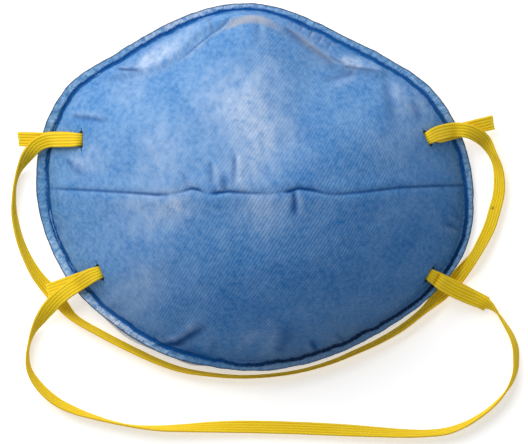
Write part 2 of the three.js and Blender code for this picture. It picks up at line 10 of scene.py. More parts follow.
import bpy
import numpy as np
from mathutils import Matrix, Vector


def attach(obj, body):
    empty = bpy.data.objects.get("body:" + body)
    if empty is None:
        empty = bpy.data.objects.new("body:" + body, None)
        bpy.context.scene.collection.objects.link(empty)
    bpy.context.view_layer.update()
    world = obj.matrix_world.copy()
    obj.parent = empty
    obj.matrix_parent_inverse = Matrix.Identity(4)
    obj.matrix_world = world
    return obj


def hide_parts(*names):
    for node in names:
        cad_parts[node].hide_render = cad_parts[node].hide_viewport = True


bl_info = {
    "name": "Disposable Respirator",
    "version": (1, 0, 0),
    "blender": (4, 5, 0),
    "location": "View3D > Sidebar > Respirator",
    "description": "Makes a cup respirator with a nonwoven cover, moulded shell, nose clip and straps",
    "category": "Object",
}

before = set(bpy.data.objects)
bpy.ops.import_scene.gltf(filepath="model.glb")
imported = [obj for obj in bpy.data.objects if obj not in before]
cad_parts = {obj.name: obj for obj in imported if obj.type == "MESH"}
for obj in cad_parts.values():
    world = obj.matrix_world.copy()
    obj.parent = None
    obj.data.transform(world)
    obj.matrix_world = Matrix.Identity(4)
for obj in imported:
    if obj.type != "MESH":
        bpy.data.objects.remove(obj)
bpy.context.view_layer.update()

# ---------------------------------------------------------------- the cup's dimensions

CUP_HEIGHT = 0.048  # from the resting plane to the crown of the cover
CROWN_X, CROWN_Y = -0.00048, -0.0023  # plan position of the crown

COVER_WALL = 0.001
SHELL_WALL = 0.001
LAYER_GAP = 0.0003  # between cover and shell
SANDWICH = COVER_WALL + LAYER_GAP + SHELL_WALL

FLANGE_WIDTH = 0.0022  # flat rim outside the weld
WELD_WIDTH = 0.001
WELD_END = FLANGE_WIDTH + WELD_WIDTH  # inset at which the cup's wall begins

REST_MIDDLE = -0.0065  # the rim rests on both cheeks about this line
REST_HALF = 0.008
RIM_RISE = 0.008  # how far nose and chin stand off the surface
RIM_RUN = 0.020

NOSE_X, NOSE_SWELL, NOSE_SPREAD = -0.0016, 0.003, 0.013
NOSE_BLEND = (0.012, 0.045)  # y over which the nose swells out
SHOULDER_RUN = 0.014  # how far the shoulder's rise runs out towards the crown
SHOULDER_CURVE = 1.6  # power by which the wall below it curves
SHOULDER_ROUND = 0.0015
VALLEY_DEPTH = 0.0028
CREST_HEIGHT, CREST_SPREAD = 0.0012, 0.009  # of the swelling that carries the crease
FADE_IN = 0.004  # distance past the weld over which these grow
GATHER_FADE_IN = 0.002

CLIP_WIDTH, CLIP_THICK, CLIP_GAP = 0.005, 0.0008, 0.0005
CLIP_FIRST, CLIP_LAST = 45, 139.5  # bearings of its two ends
CLIP_ROUND, CLIP_TIP = 2.2, 0.06  # degrees of its rounded ends, and the share they begin with
CLIP_CORNER = 0.4  # power that squares the section: 1 is an ellipse
CLIP_PROBE = (0.001, 0.002)  # distances out from the ridge between which the wall's slope is taken
CLIP_SECTIONS, CLIP_POINTS = 220, 28  # of its mesh, along it and round it
CLIP_REACH = 0.055  # from the crown to its middle
CLIP_BULGE = 0.0015
CLIP_BULGE_FADE = 4.5  # degrees past its ends
CLIP_BULGE_CLIMB = 0.45  # share of the way from weld to ridge over which the cover rises over it
TOE_GAP = 0.0006  # from the weld to the clip

BAND_WIDTH, BAND_THICK = 0.0048, 0.0007
SLIT_LENGTH, SLIT_HELD = 0.0076, 0.0047  # whole, and as far as its band holds it open
SLIT_OPEN, SLIT_TIP = 0.0021, 0.0005  # width there, and at its two ends
SLIT_NECK = 0.0005  # length over which the one becomes the other
SLIT_SHIFT = 0.00035  # how far down the slope the band holds it open from its middle
FLOOR_GAP = 0.0001
TAIL_CLEARANCE = 0.0008  # from the cover to the middle of a band's tail
RUN_CLEARANCE = 0.0017  # and of its free run, which lies over the tail
TAIL_INSETS = (0.0011, 0.0042, 0.0075)  # where a tail's height over the cover is kept
TAIL_FROM_SLIT = 0.003
PAST_RIM = 0.002  # how far past the rim a tail begins to hang


def table(columns, *rows):
    """Rows of numbers under named columns. Those marked mm are given in millimetres, and kept in
    metres."""
    labels = [column.partition("/") for column in columns.split()]
    values = np.array(rows) / [1000 if unit == "mm" else 1 for _, _, unit in labels]
    return np.array([tuple(row) for row in values], dtype=[(name, float) for name, _, _ in labels])


# The rim about the crown. radius: to the cover's edge. fullness: of the profile from crown to rim,
# where 2 is a parabola and more is flatter with a steeper side. weld: inset of the weld's middle.
RIM = table(
    "bearing radius/mm fullness weld/mm",
    (0, 70.9, 2.6, 2.3),
    (15, 69.5, 2.6, 2.8),
    (30, 66.6, 2.5, 2.9),
    (45, 61.5, 2.3, 2.7),
    (60, 58.5, 2.15, 2.6),
    (75, 59.4, 2.1, 2.35),
    (90, 61.3, 2.1, 2.2),
    (105, 61.4, 2.1, 2.35),
    (120, 61.3, 2.15, 2.5),
    (135, 63.4, 2.3, 2.75),
    (150, 69, 2.5, 3.1),
    (165, 70.6, 2.6, 3.4),
    (180, 69.7, 2.6, 3.4),
    (195, 67.5, 2.6, 3.4),
    (210, 64.5, 2.65, 3.2),
    (225, 60.9, 2.7, 2.7),
    (240, 59, 2.75, 2.8),
    (255, 57.1, 2.8, 2.3),
    (270, 56.7, 2.8, 2.1),
    (285, 56.9, 2.8, 2.4),
    (300, 58.1, 2.75, 2.3),
    (315, 60.7, 2.7, 2),
    (330, 65.7, 2.65, 1.9),
    (345, 70.5, 2.6, 2.3),
)

# The shoulder that the nose clip gives the cup. inset: of its edge from the rim.
SHOULDER = table(
    "bearing inset/mm rise/mm",
    (36, 6.6, 0),
    (44, 7.3, 0.6),
    (52, 9.6, 1),
    (60, 10.8, 1.2),
    (68, 9.8, 2.2),
    (76, 7.9, 3.6),
    (84, 6.1, 4.8),
    (92, 5.6, 5.2),
    (100, 6, 4.8),
    (108, 7.3, 3.6),
    (116, 10, 2.2),
    (124, 11.4, 1.2),
    (132, 10.3, 1),
    (140, 7.3, 0.6),
    (148, 6.6, 0),
)

# Hollows beside the nose, oval in plan.
VALLEYS = table(
    "x/mm y/mm spread_x/mm spread_y/mm",
    (-33, 40.5, 13, 9),
    (29.5, 40.5, 12, 9),
)

# Where the cover gathers into the weld at the chin. half: half width in degrees.
GATHERS = table(
    "bearing depth/mm half reach/mm",
    (216, 0.5, 5, 9),
    (243, 1.3, 6, 13),
    (268, 0.5, 5, 8),
    (291, 0.9, 5, 10),
    (315, 0.6, 5, 9),
)

# Where the shell's edge shows past the cover's.
SHELL_PEEPS = table(
    "bearing half reach/mm",
    (228, 8, 1.4),
    (249.5, 5, 1),
)
SHELL_TUCK = 0.0003

# The slits. heading: the way each faces. tail_...: of the band's cut end, which lies over the rim
# and hangs so far below it.
SLITS = table(
    "x/mm y/mm heading tail_heading tail_length/mm tail_hang/mm",
    (-55.4, 15.1, 180, 179, 20.6, 2.6),
    (55.1, 15.5, 26, 14, 22.2, 2.8),
    (-49.4, -27.2, 201, 200, 18.4, 2.4),
    (55.9, -28, 329, 332.7, 21, 6.1),
)
UPPER_LEFT, UPPER_RIGHT, LOWER_LEFT, LOWER_RIGHT = SLITS

# The free runs of the bands. lift: above what the band rests on. lean: degrees of roll from
# flat, where -90 stands on its edge and less tips its top edge away from the loop.
UPPER_RUN = table(
    "x/mm y/mm lift/mm lean",
    (-62.5, 15.1, 0.7, 0),
    (-66.8, 14.9, 1.5, -12),
    (-69.9, 13.6, 6.3, -15),
    (-72.1, 11.3, 4.9, -32),
    (-74.3, 8, 1.8, -56),
    (-76.1, 4.7, 0.4, -77),
    (-77.2, 0.8, 0, -84),
    (-77.6, -4.4, 0, -79),
    (-77.4, -9.1, 0, -72),
    (-75.7, -16.7, 0, -65),
    (-73.2, -22.9, 0, -57),
    (-70.2, -28.2, 0, -44),
    (-66.6, -32.6, 0, -29),
    (-62.9, -36.8, 0, -31),
    (-58.5, -41.8, 0, -60),
    (-50.5, -46.6, 0, -65),
    (-43.7, -50.2, 0, -65),
    (-37, -53.5, 0, -67),
    (-30.3, -56.5, 0, -71),
    (-23.4, -58.8, 0, -74),
    (-14.3, -60.3, 0, -80),
    (-4.4, -61, 0, -83),
    (5.4, -60.5, 0, -83),
    (15.2, -59, 0, -83),
    (25, -56.1, 0, -80),
    (32.4, -53, 0, -76),
    (39.8, -49.6, 0, -72),
    (47.3, -45.2, 0, -68),
    (54.8, -39.2, 0, -62),
    (59.8, -34.5, 0, -24),
    (63.6, -30.8, 0, -7),
    (67.1, -26.7, 0, -26),
    (70.3, -22.6, 0, -48),
    (73.3, -17.4, 0, -44),
    (75.6, -12.5, 0, -38),
    (77.1, -7.5, 0, -38),
    (78.4, -2.4, 0, -40),
    (78.6, 2.2, 0, -45),
    (78.1, 6.5, 0, -55),
    (76.6, 10.3, 0.4, -60),
    (74.4, 14, 1.6, -38),
    (71.2, 16.8, 5.9, -20),
    (68, 18.1, 7.7, -14),
    (64.4, 18.4, 0.5, -12),
    (60.8, 17.8, 0.2, 0),
)

LOWER_RUN = table(
    "x/mm y/mm lift/mm lean",
    (-54.2, -29.5, 0.7, 0),
    (-57.2, -31.4, 0.8, 8),
    (-59.9, -33.1, 7.5, 10),
    (-62.6, -35.2, 7.2, 4),
    (-65.3, -37.8, 5.1, -10),
    (-68.4, -41.7, 2, -38),
    (-71.1, -46.1, 0.5, -70),
    (-72.6, -50.2, 0, -86),
    (-73.2, -54.3, 0, -84),
    (-72.7, -58.5, 0, -75),
    (-70.7, -62.3, 0, -64),
    (-67.5, -66, 0, -58),
    (-63.2, -69.4, 0, -57),
    (-57.5, -72.1, 0, -65),
    (-52.1, -73.9, 0, -77),
    (-46.7, -75.4, 0, -85),
    (-41.3, -76.6, 0, -88),
    (-36.8, -77.2, 0, -83),
    (-30.1, -77.6, 0, -72),
    (-23.3, -77.5, 0, -62),
    (-14, -77.2, 0, -47),
    (-4.4, -77.1, 0, -35),
    (10.2, -77.4, 0, -34),
    (25, -78, 0, -36),
    (39.8, -78.8, 0, -50),
    (47.3, -79.2, 0, -58),
    (55.1, -79.2, 0, -65),
    (61.6, -78.5, 0, -66),
    (67.3, -76.5, 0, -73),
    (72.2, -73.7, 0, -80),
    (76.4, -70.5, 0, -84),
    (79.9, -66.8, 0, -90),
    (82.5, -62.8, 0, -101),
    (83.8, -58.8, 0, -108),
    (84, -55.2, 0, -112),
    (83.8, -51.6, 0, -112),
    (82.7, -48.1, 0, -108),
    (80.8, -44.7, 0, -103),
    (78.5, -41.2, 0, -93),
    (76.3, -38.9, 0.7, -72),
    (73.9, -37.4, 2.3, -36),
    (71.2, -36.2, 3.4, -10),
    (68, -34.9, 4.9, 0),
    (64.8, -33.5, 6.4, 5),
    (62, -32, 7.7, 8),
    (59.6, -30.5, 1.8, 4),
)

# A band's way in over the lower lip of its slit, round inside the cup and out again over itself.
# down: along the cover's slope from the middle of the slit. out: from the cover's face.
HAIRPIN = table(
    "down/mm out/mm",
    (2.75, 0.8),
    (1.45, 0.75),
    (0.97, 0.5),
    (0.8, 0),
    (0.8, -3),
    (1.55, -4),
    (1.25, -5.1),
    (0.35, -5.6),
    (-0.55, -5.1),
    (-0.85, -4),
    (-0.1, -3),
    (-0.1, 0),
    (0.05, 0.9),
    (0.6, 1.5),
    (1.45, 1.7),
    (2.75, 1.7),
)

# ---------------------------------------------------------------- what only the looks need

# The pressed crease across the front, from cheek to cheek. depth: 0 where the crease is broken.
CREASE = table(
    "x/mm y/mm depth/mm",
    (-66.5, -0.4, 0.2),
    (-60, -0.7, 0.55),
    (-52, -1.1, 0.55),
    (-44, -1.6, 0.5),
    (-37, -2.1, 0.55),
    (-30.5, -2.6, 0.6),
    (-26.5, -2.4, 0.2),
    (-23.2, -1.6, 0.35),
    (-19.9, -0.6, 0.7),
    (-17.5, -1.1, 0.7),
    (-15.3, -2.2, 0.05),
    (-12.2, -2.1, 0.75),
    (-8.3, -1.6, 0.7),
    (-2, -2.1, 0.45),
    (4, -2.3, 0.2),
    (8.5, -1.9, 0.05),
    (10.8, -1.6, 0.8),
    (13.8, -0.6, 0.8),
    (18.9, -1.3, 0.7),
    (22.5, -2.3, 0.35),
    (26, -2.5, 0.4),
    (35.3, -1.6, 0.55),
    (46.2, -0.2, 0.6),
    (56.8, 0.3, 0.6),
    (67.1, 0.6, 0.5),
)
CREASE_WIDTH = 0.00068
FULL_CREASE_SHADE = 0.00076  # the depth from which it is at its darkest
CREASE_ROLL = 0.0022  # how far each side of it the cloth rolls up
CREASE_ROLL_HEIGHT = 0.00030
CREASE_PRESS = 0.75  # share of its depth that shows in the outer face

# Folds and puckers of the cover, each a valley along a line in plan. wide: half width. puff: how
# far the cloth swells beside the valley, on its left going from the first end to the second.
FOLDS = table(
    "x0/mm y0/mm x1/mm y1/mm depth/mm wide/mm puff/mm",
    (-31.8, -50.8, -22.2, -50, 1.8, 0.9, 0.8),
    (-26.2, -50.8, -15, -44, 2.6, 1.1, 1.4),
    (-27, -53, -18, -52.8, 0.5, 1.2, 0.2),
    (-14.5, -53.5, -12, -49, 0.3, 1.2, 0.2),
    (19.6, -52.2, 17.6, -48.5, 0.9, 1, 0.4),
    (28.5, -49.2, 25, -46.2, 0.5, 1, 0.3),
    (7.5, -53, 12, -44, 0.6, 2.6, 0.3),
    (65.5, -13.6, 60, -11.2, 0.5, 0.8, 0.4),
    (66.2, -10.5, 62.5, -7.8, 0.3, 0.8, 0.2),
    (-58, 22.5, -46.2, 20.7, 0.6, 0.8, 0.3),
    (-60.5, 8.5, -54.5, 3, 0.4, 1.2, 0.2),
    (41.7, 33, 44, 19, 0.5, 2, 0.4),
    (50, 27.5, 53.5, 20.5, 0.4, 1.6, 0.3),
    (31.5, 36.2, 22.2, 33.8, 0.5, 1, 0.3),
    (22.8, 40.5, 30.5, 37.2, 0.5, 0.6, 0.3),
    (28, 37.6, 40.5, 35.8, 0.7, 0.5, 0.4),
    (-42.5, 36.8, -35, 36.4, 1, 0.5, 0.3),
    (-7.2, 53.2, -15.4, 47.5, 0.7, 0.3, 0.4),
    (-12.8, 49.6, -24.7, 39.8, 0.7, 0.3, 0.4),
    (-13.3, 50, -15.2, 53.2, 0.5, 0.5, 0.2),
    (9.8, 49.4, 18, 43.2, 0.8, 0.6, 0.2),
    (16.6, 44.2, 25.8, 37.2, 0.8, 0.6, 0.3),
    (11.2, 47.8, 20.8, 40.2, 0.5, 0.4, 0.3),
    (12.2, 53.5, 11.2, 50, 0.5, 0.4, 0.2),
    (15.2, 52.2, 14, 48.2, 0.7, 0.4, 0.3),
    (18.4, 50.3, 16.6, 46.2, 0.7, 0.4, 0.4),
    (21.4, 48.4, 19.6, 44.6, 0.6, 0.4, 0.3),
    (24.3, 46.4, 22.6, 43, 0.5, 0.4, 0.2),
    (12.4, -1.5, 12.8, -10.2, 1, 0.9, 0.3),
    (-9.2, -1.4, -9.8, 3.6, 0.6, 1.1, 0.2),
    (-14, 7.5, -13.4, -1, 0.5, 0.8, 0.3),
    (-6.2, 9.5, -6.8, -0.8, 0.5, 0.8, 0.3),
    (-22.5, 4, -21.5, -0.8, 0.4, 0.9, 0.2),
    (1, 52, 0.6, 44.5, 0.3, 1, 0.2),
)

# Pale patches where the cloth's fibres lie loose, round in plan. The first nine rows, beside the nose
# clip's arms, paint highlights on its lit facets.
PALE_PATCHES = table(
    "x/mm y/mm spread/mm strength",
    (-34.5, 38.8, 3, 0.9),
    (-30.8, 40.8, 3.4, 0.8),
    (-27.2, 43.4, 3.2, 0.7),
    (-23.8, 45.8, 2.8, 0.6),
    (-19.5, 49, 2.6, 0.5),
    (-15, 53.5, 2, 0.3),
    (28.5, 39.4, 2, 0.8),
    (31.2, 38.6, 2, 0.9),
    (35, 38.5, 3, 0.2),
    (-40, 31, 6, 0.4),
    (-30, 12, 9, 0.6),
    (-8, 25, 11, 0.8),
    (2, 34, 8, 0.5),
    (4, 16, 10, 0.7),
    (-2, 5, 7, 0.6),
    (-36, -8, 9, 0.5),
    (-25, -6, 6, 0.8),
    (-52, 8, 6, 0.4),
    (-35, -31, 8, 0.5),
    (3, -8, 7, 0.6),
    (42, 13, 6, 0.3),
    (-44, -40, 6, 0.4),
    (-4.8, -51.5, 1.6, 0.5),
    (-2.4, -49, 1.8, 0.6),
    (0.2, -46.7, 1.8, 0.6),
    (2.2, -53, 1.3, 0.5),
    (5.2, -50, 1.4, 0.3),
    (5.8, -47.4, 1.4, 0.4),
    (53, 32, 5.5, 0.3),
    (52.5, 18.5, 4.5, 0.3),
)

# Places where the cloth is darker, round in plan. The rows by the chin fold paint the shade in its
# pocket.
DEEP_PATCHES = table(
    "x/mm y/mm spread/mm strength",
    (15, 16.5, 5.5, 0.7),
    (17.5, 6, 6, 0.7),
    (14.5, 0.2, 3.4, 0.9),
    (-25.8, -50.6, 2.2, 1.0),
    (-20.8, -52, 2.2, 1.0),
    (-12.5, -0.8, 1.4, 0.8),
    (15, -8, 5.5, 0.7),
    (24.5, -4, 8, 0.35),
    (30, 12, 7, 0.3),
    (-10, 1, 4.5, 0.5),
    (7, 43, 6, 0.4),
    (0, 56, 5, 0.4),
    (13, 52, 3, 0.5),
    (18.5, 48.7, 3, 0.6),
    (23.5, 45, 2.6, 0.6),
    (-23.8, -53.5, 3.6, 0.5),
    (-16.5, -54.5, 3, 0.5),
    (-15, -19, 7, 0.4),
    (-54, 4, 4, 0.4),
)

# Where the pressed rim has gone white and frayed, or is darker, below 0; the row at 316 degrees paints
# the shade at the lower right. half: half width in degrees.
FRAYED_AND_SHADED_RIM = table(
    "bearing half amount",
    (224, 12, 1.0),
    (242, 4, 0.2),
    (256, 9, -1.0),
    (2, 9, 0.2),
    (45, 12, -0.3),
    (110, 20, 0.8),
    (136, 7, -0.3),
    (180, 10, -0.8),
    (197, 8, 0.4),
    (316, 18, -1.0),
)

CLIP_SHOW_SPAN = (75, 90, 97, 101)  # bearings over which the clip shows through, with its fades
CLIP_SHOW_MIDDLE = 89.5
CLIP_SHOW_INSET = 0.0051  # of the strip's outer line there
CLIP_SHOW_BOW, CLIP_SHOW_BOW_AT = 0.0012, 8  # how much more, and how many degrees on
CLIP_SHOW_ACROSS = (-0.0002, 0.0008, 0.0012, 0.0022)  # past that line, with its fades
CLIP_ARM_MIDDLE, CLIP_ARM_HALF = 69, 10  # bearings over which it shows faintly along its edge
CLIP_ARM_SHARE, CLIP_ARM_OUT, CLIP_ARM_WIDTH = 0.45, 0.0006, 0.0009
POCKET_SHADE_REACH = 0.0048  # of the painted shade inside a gather

RIM_CIRCLE = 0.065  # radius of the level circle round which the rim's noises run
WELD_GROOVE = 0.00042  # depth
WELD_HALF = 0.0005  # half width
WELD_WANDER = 0.00026  # how far the weld's line wanders to both sides
FLANGE_RIPPLE, RIPPLE_FADE_IN = 0.00009, (0.0008, 0.0014)  # and where it grows, out from the cup
EDGE_RIPPLE, EDGE_RIPPLE_REACH = 0.00012, 0.0012  # of the cover's cut edge
CLOTH_WAVES = 0.00016  # height of the cover's soft waves
FORM_FADE_IN = 0.003  # distance past the weld over which crease, folds and waves grow
FOLD_ENDS = (-0.15, 0.12, 0.55, 1.15)  # shares of its line where a fold begins, is full and ends
FOLD_WIDE, FOLD_WIDENS = 0.7, 0.5  # its width at the first end, and how much more at the second
SWELL_OFF, SWELL_WIDE = 2, 1.5  # place and width of the swelling beside it, in its widths
FULL_FOLD = 0.001  # depth at which a fold is shaded in full
OUTER_HOLLOW, INNER_HOLLOW = 0.0009, 0.0002  # how deep a fold may press each face of the cover
GATHER_WAVES = 0.00026  # of the puckers along the weld
GATHER_LEAST, GATHER_CHIN = 0.6, (-0.02, 0.04)  # share at the nose, and the -y over which it grows
GATHER_PEAK, GATHER_REACH, GATHER_START = 0.001, 0.0055, 0.0008  # past the weld
INSIDE_SHIFT = 0.002  # keeps the weld's colours off the cover's inner face
CREASE_FAR = 0.005  # distance beyond which it no longer matters
RIBS, RIB_POINTS = 5, 6  # of the elastic, and the mesh's points across each
RIB_DEPTH, RIB_ARCH, BAND_EDGE = 0.00012, 0.7, 14  # and the powers of the arch and of the edge
BAND_STEP = 0.0005  # between a band's sections
ROUTE_STEPS = 6000  # in which its curve is measured
BAND_WAVER, RIB_WAVER = 0.012, 0.05  # shares by which its width and its thickness waver
RIB_STRETCH = 0.4  # makes the latter longer across than along
BAND_FRAY = 0.00016  # of its cut ends
STAIN_PLACE, STAIN_SPREAD = (0.0765, -0.0067), 0.00042  # a small dark spot on the upper band
PINCH, PINCH_REACH = 0.14, 0.0024  # how much a slit narrows its band, and how near to it
PULL_CHANGE = 0.0006  # down the slope, from the pass that comes out to the one that goes in
CORNER_PULL, CORNER_CURVE = 0.0003, 3  # how far it pulls the band's corners down, by a power
TUCK_FIRST, TUCK_FULL = 0.0003, -0.0006  # heights over the cover's face between which the painted shade in the slit darkens the band
TUCK_REACH = (0.008, 0.010)  # distances from the slit over which that ends

# ---------------------------------------------------------------- small mathematics


def hill(t):
    """A bell: e to the minus t squared."""
    return np.exp(-t * t)


def smoothstep(t, low, high):
    """0 below low, 1 above high, and a cubic with level ends between."""
    share = np.clip((t - low) / (high - low), 0, 1)
    return share * share * (3 - 2 * share)


def plateau(t, start, full, last, end):
    """1 from full to last, and smooth down to 0 at start and at end."""
    return smoothstep(t, start, full) * (1 - smoothstep(t, last, end))


def turn(start, end):
    """Shortest way round from one bearing to another, in degrees."""
    return (end - start + 180) % 360 - 180


def plan_vector(bearing):
    """Level unit vectors at bearings."""
    angle = np.radians(bearing)
    return np.stack([np.cos(angle), np.sin(angle), np.zeros_like(angle)], axis=-1)


def bell_at(row, bearing):
    """A bell at a row's bearing, with the row's half width."""
    return hill(turn(row["bearing"], bearing) / row["half"])


def rim_waves(bearing, shortest, longest, count, seed):
    """Noise that runs round the rim."""
    return waves(plan_vector(bearing) * RIM_CIRCLE, shortest, longest, count, seed)


def unit(vectors):
    """Vectors divided by their lengths."""
    return vectors / np.linalg.norm(vectors, axis=-1, keepdims=True)


def along(rows, column, bearing, closed):
    """A column at any bearing: the Catmull-Rom cubic through rows at an even spacing."""
    values, first = rows[column], rows["bearing"][0]
    place = (np.asarray(bearing, float) - first) / (rows["bearing"][1] - first)
    last = len(values) - 1
    place = place % len(values) if closed else np.clip(place, 0, last)
    row = np.floor(place).astype(int)
    t = place - row

    def at(k):
        return values[k % len(values)] if closed else values[np.clip(k, 0, last)]

    a, b, c, d = at(row - 1), at(row), at(row + 1), at(row + 2)
    return b + 0.5 * t * (c - a + t * (2 * a - 5 * b + 4 * c - d + t * (3 * (b - c) + d - a)))


def waves(points, shortest, longest, count, seed):
    """Soft noise from -1 to 1: a sum of sines with random headings, lengths and phases."""
    random = np.random.default_rng(seed)
    length = np.geomspace(shortest, longest, count)
    heading = unit(random.normal(size=(count, points.shape[-1])))
    phase = random.uniform(0, 2 * np.pi, count)
    angle = points @ (2 * np.pi / length[:, None] * heading).T + phase
    weight = np.sqrt(length / longest)
    return (np.sin(angle) * weight).sum(axis=-1) / np.sqrt((weight**2).sum() * 2)


# ---------------------------------------------------------------- form of the cup


def rim_radius(bearing):
    return along(RIM, "radius", bearing, closed=True)


def shoulder_inset(bearing):
    return along(SHOULDER, "inset", bearing, closed=False)


def to_polar(x, y):
    """The bearing, 0 to 360, and the inset from the rim of plan positions."""
    bearing = np.degrees(np.arctan2(y - CROWN_Y, x - CROWN_X)) % 360
    return bearing, rim_radius(bearing) - np.hypot(x - CROWN_X, y - CROWN_Y)


def rim_lift(y):
    """Height of the rim's underside: level at both cheeks, rising on a bell's flank beyond."""
    beyond = np.maximum(0, np.abs(y - REST_MIDDLE) - REST_HALF)
    return RIM_RISE * (1 - hill(beyond / RIM_RUN))


def relief(bearing, inset, x, y):
    """Height over the plain dome: the clip's shoulder, the nose, its hollows, the gathers and
    the crest that carries the crease, each a product of bells."""
    up = np.maximum(inset - WELD_END, 0)
    ridge = shoulder_inset(bearing) - WELD_END
    wall = 1 - np.maximum(1 - up / ridge, 0) ** SHOULDER_CURVE
    climb = np.where(up < ridge, wall, hill((up - ridge) / SHOULDER_RUN))
    height = along(SHOULDER, "rise", bearing, closed=False) * climb
    fade = smoothstep(up, 0, FADE_IN)
    nose = NOSE_SWELL * hill((x - NOSE_X) / NOSE_SPREAD) * smoothstep(y, *NOSE_BLEND)
    height += fade * nose
    for row in VALLEYS:
        across, past = (x - row["x"]) / row["spread_x"], (y - row["y"]) / row["spread_y"]
        height -= fade * VALLEY_DEPTH * hill(across) * hill(past)
    for row in GATHERS:
        inward = hill(up / row["reach"]) * smoothstep(up, 0, GATHER_FADE_IN)
        height -= row["depth"] * bell_at(row, bearing) * inward
    height += fade * CREST_HEIGHT * hill((y - CROWN_Y) / CREST_SPREAD)
    return height


def crease_offset(x, y):
    """Signed distance north of the crease's line, and the crease's depth there."""
    line = np.interp(x, CREASE["x"], CREASE["y"])
    depth = np.interp(x, CREASE["x"], CREASE["depth"], left=0, right=0)
    return y - line, depth


def fold_shape(x, y):
    """Height of the folds, and masks of the painted shade along each valley line and of the painted
    highlight on the swelling beside it. A valley is a bell across its line, which widens and fades
    towards the second end; beside it the cloth swells on a wider bell."""
    height, valley_shade, crest_highlights = np.zeros_like(x), np.zeros_like(x), np.zeros_like(x)
    for row in FOLDS:
        run = np.array([row["x1"] - row["x0"], row["y1"] - row["y0"]])
        length = np.hypot(*run)
        way = run / length
        past = ((x - row["x0"]) * way[0] + (y - row["y0"]) * way[1]) / length
        off = (y - row["y0"]) * way[0] - (x - row["x0"]) * way[1]
        ends = plateau(past, *FOLD_ENDS)
        wide = row["wide"] * (FOLD_WIDE + FOLD_WIDENS * np.clip(past, 0, 1))
        valley = hill(off / wide) * ends
        swell = hill((off - SWELL_OFF * wide) / (SWELL_WIDE * wide)) * ends
        height += row["puff"] * swell - row["depth"] * valley
        valley_shade = np.maximum(valley_shade, valley * min(1, row["depth"] / FULL_FOLD))
        crest_highlights = np.maximum(crest_highlights, swell * min(1, row["puff"] / FULL_FOLD * 2))
    return height, valley_shade, crest_highlights


def fine_relief(bearing, inset, x, y):
    """Height of the cover's small forms: crease, folds, soft waves, puckers along the weld and
    ripples on the flange."""
    up = inset - WELD_END
    fade = smoothstep(up, 0, FORM_FADE_IN)
    off, depth = crease_offset(x, y)
    roll = hill((np.abs(off) - CREASE_ROLL) / CREASE_ROLL) * (depth > 0)
    crease = CREASE_ROLL_HEIGHT * roll - CREASE_PRESS * depth * hill(off / CREASE_WIDTH)
    folds, _, _ = fold_shape(x, y)
    soft = CLOTH_WAVES * waves(np.stack([x, y], axis=-1), 0.006, 0.030, 26, seed=3)
    pucker = rim_waves(bearing, 0.0035, 0.009, 18, seed=5)
    amount = GATHER_WAVES * (GATHER_LEAST + (1 - GATHER_LEAST) * smoothstep(-y, *GATHER_CHIN))
    gathers = amount * pucker * hill((up - GATHER_PEAK) / GATHER_REACH)
    ripple = FLANGE_RIPPLE * rim_waves(bearing, 0.0016, 0.004, 14, seed=7)
    on_flange = smoothstep(-up, *RIPPLE_FADE_IN)
    in_cup = fade * (crease + folds + soft) + smoothstep(up, 0, GATHER_START) * gathers
    return in_cup + on_flange * ripple


def pressed_in(height, most):
    """Heights whose hollows are eased, by a hyperbolic tangent, to no more than most."""
    return np.where(height < 0, -most * np.tanh(-height / most), height)


def weld_offset(bearing, inset):
    """Signed distance inwards from the middle of the weld, whose line wanders a little."""
    wander = WELD_WANDER * rim_waves(bearing, 0.0025, 0.016, 18, seed=11)
    return inset - along(RIM, "weld", bearing, closed=True) - wander


def clip_bulge(bearing, inset):
    """How far the cover stands out over the nose clip: up over the clip's toe, and down again
    just past the shoulder."""
    off = np.maximum(np.maximum(CLIP_FIRST - bearing, bearing - CLIP_LAST), 0) / CLIP_BULGE_FADE
    ridge = shoulder_inset(bearing)
    climb = smoothstep((inset - WELD_END) / (ridge - WELD_END), 0, CLIP_BULGE_CLIMB)
    fall = 1 - smoothstep((inset - ridge) / SHOULDER_ROUND, 0, 1)
    return CLIP_BULGE * (1 - smoothstep(off, 0, 1)) * np.minimum(climb, fall)


def cup_point(bearing, inset, depth, fine=0.0):
    """Points of the cup and the dome's normals. The height falls from the crown to the weld by a
    power of the reach's share; relief and fine are added; and depth is taken off along the
    normal, which is upright on the flange."""
    ray = plan_vector(bearing)
    rim = rim_radius(bearing)
    reach = rim - inset
    point = ray * reach[..., None]
    point[..., 0] += CROWN_X
    point[..., 1] += CROWN_Y
    base = rim_lift(CROWN_Y + rim * ray[..., 1]) + SANDWICH
    share = np.clip(reach / (rim - WELD_END), 0, 1)
    power = along(RIM, "fullness", bearing, closed=True)
    rise = CUP_HEIGHT - CREST_HEIGHT - base
    height = base + rise * (1 - share**power)
    point[..., 2] = height + relief(bearing, inset, point[..., 0], point[..., 1]) + fine
    steep = np.where(inset < WELD_END, 0, power * rise * share ** (power - 1) / (rim - WELD_END))
    normal = ray * steep[..., None]
    normal[..., 2] = 1
    normal = unit(normal)
    return point - normal * np.asarray(depth)[..., None], normal


def cover_under(places):
    """The cover's smooth face and its normals at plan places, or at the rim nearest to them."""
    bearing, inset = to_polar(places[:, 0], places[:, 1])
    return cup_point(bearing, np.maximum(inset, 0), 0.0)


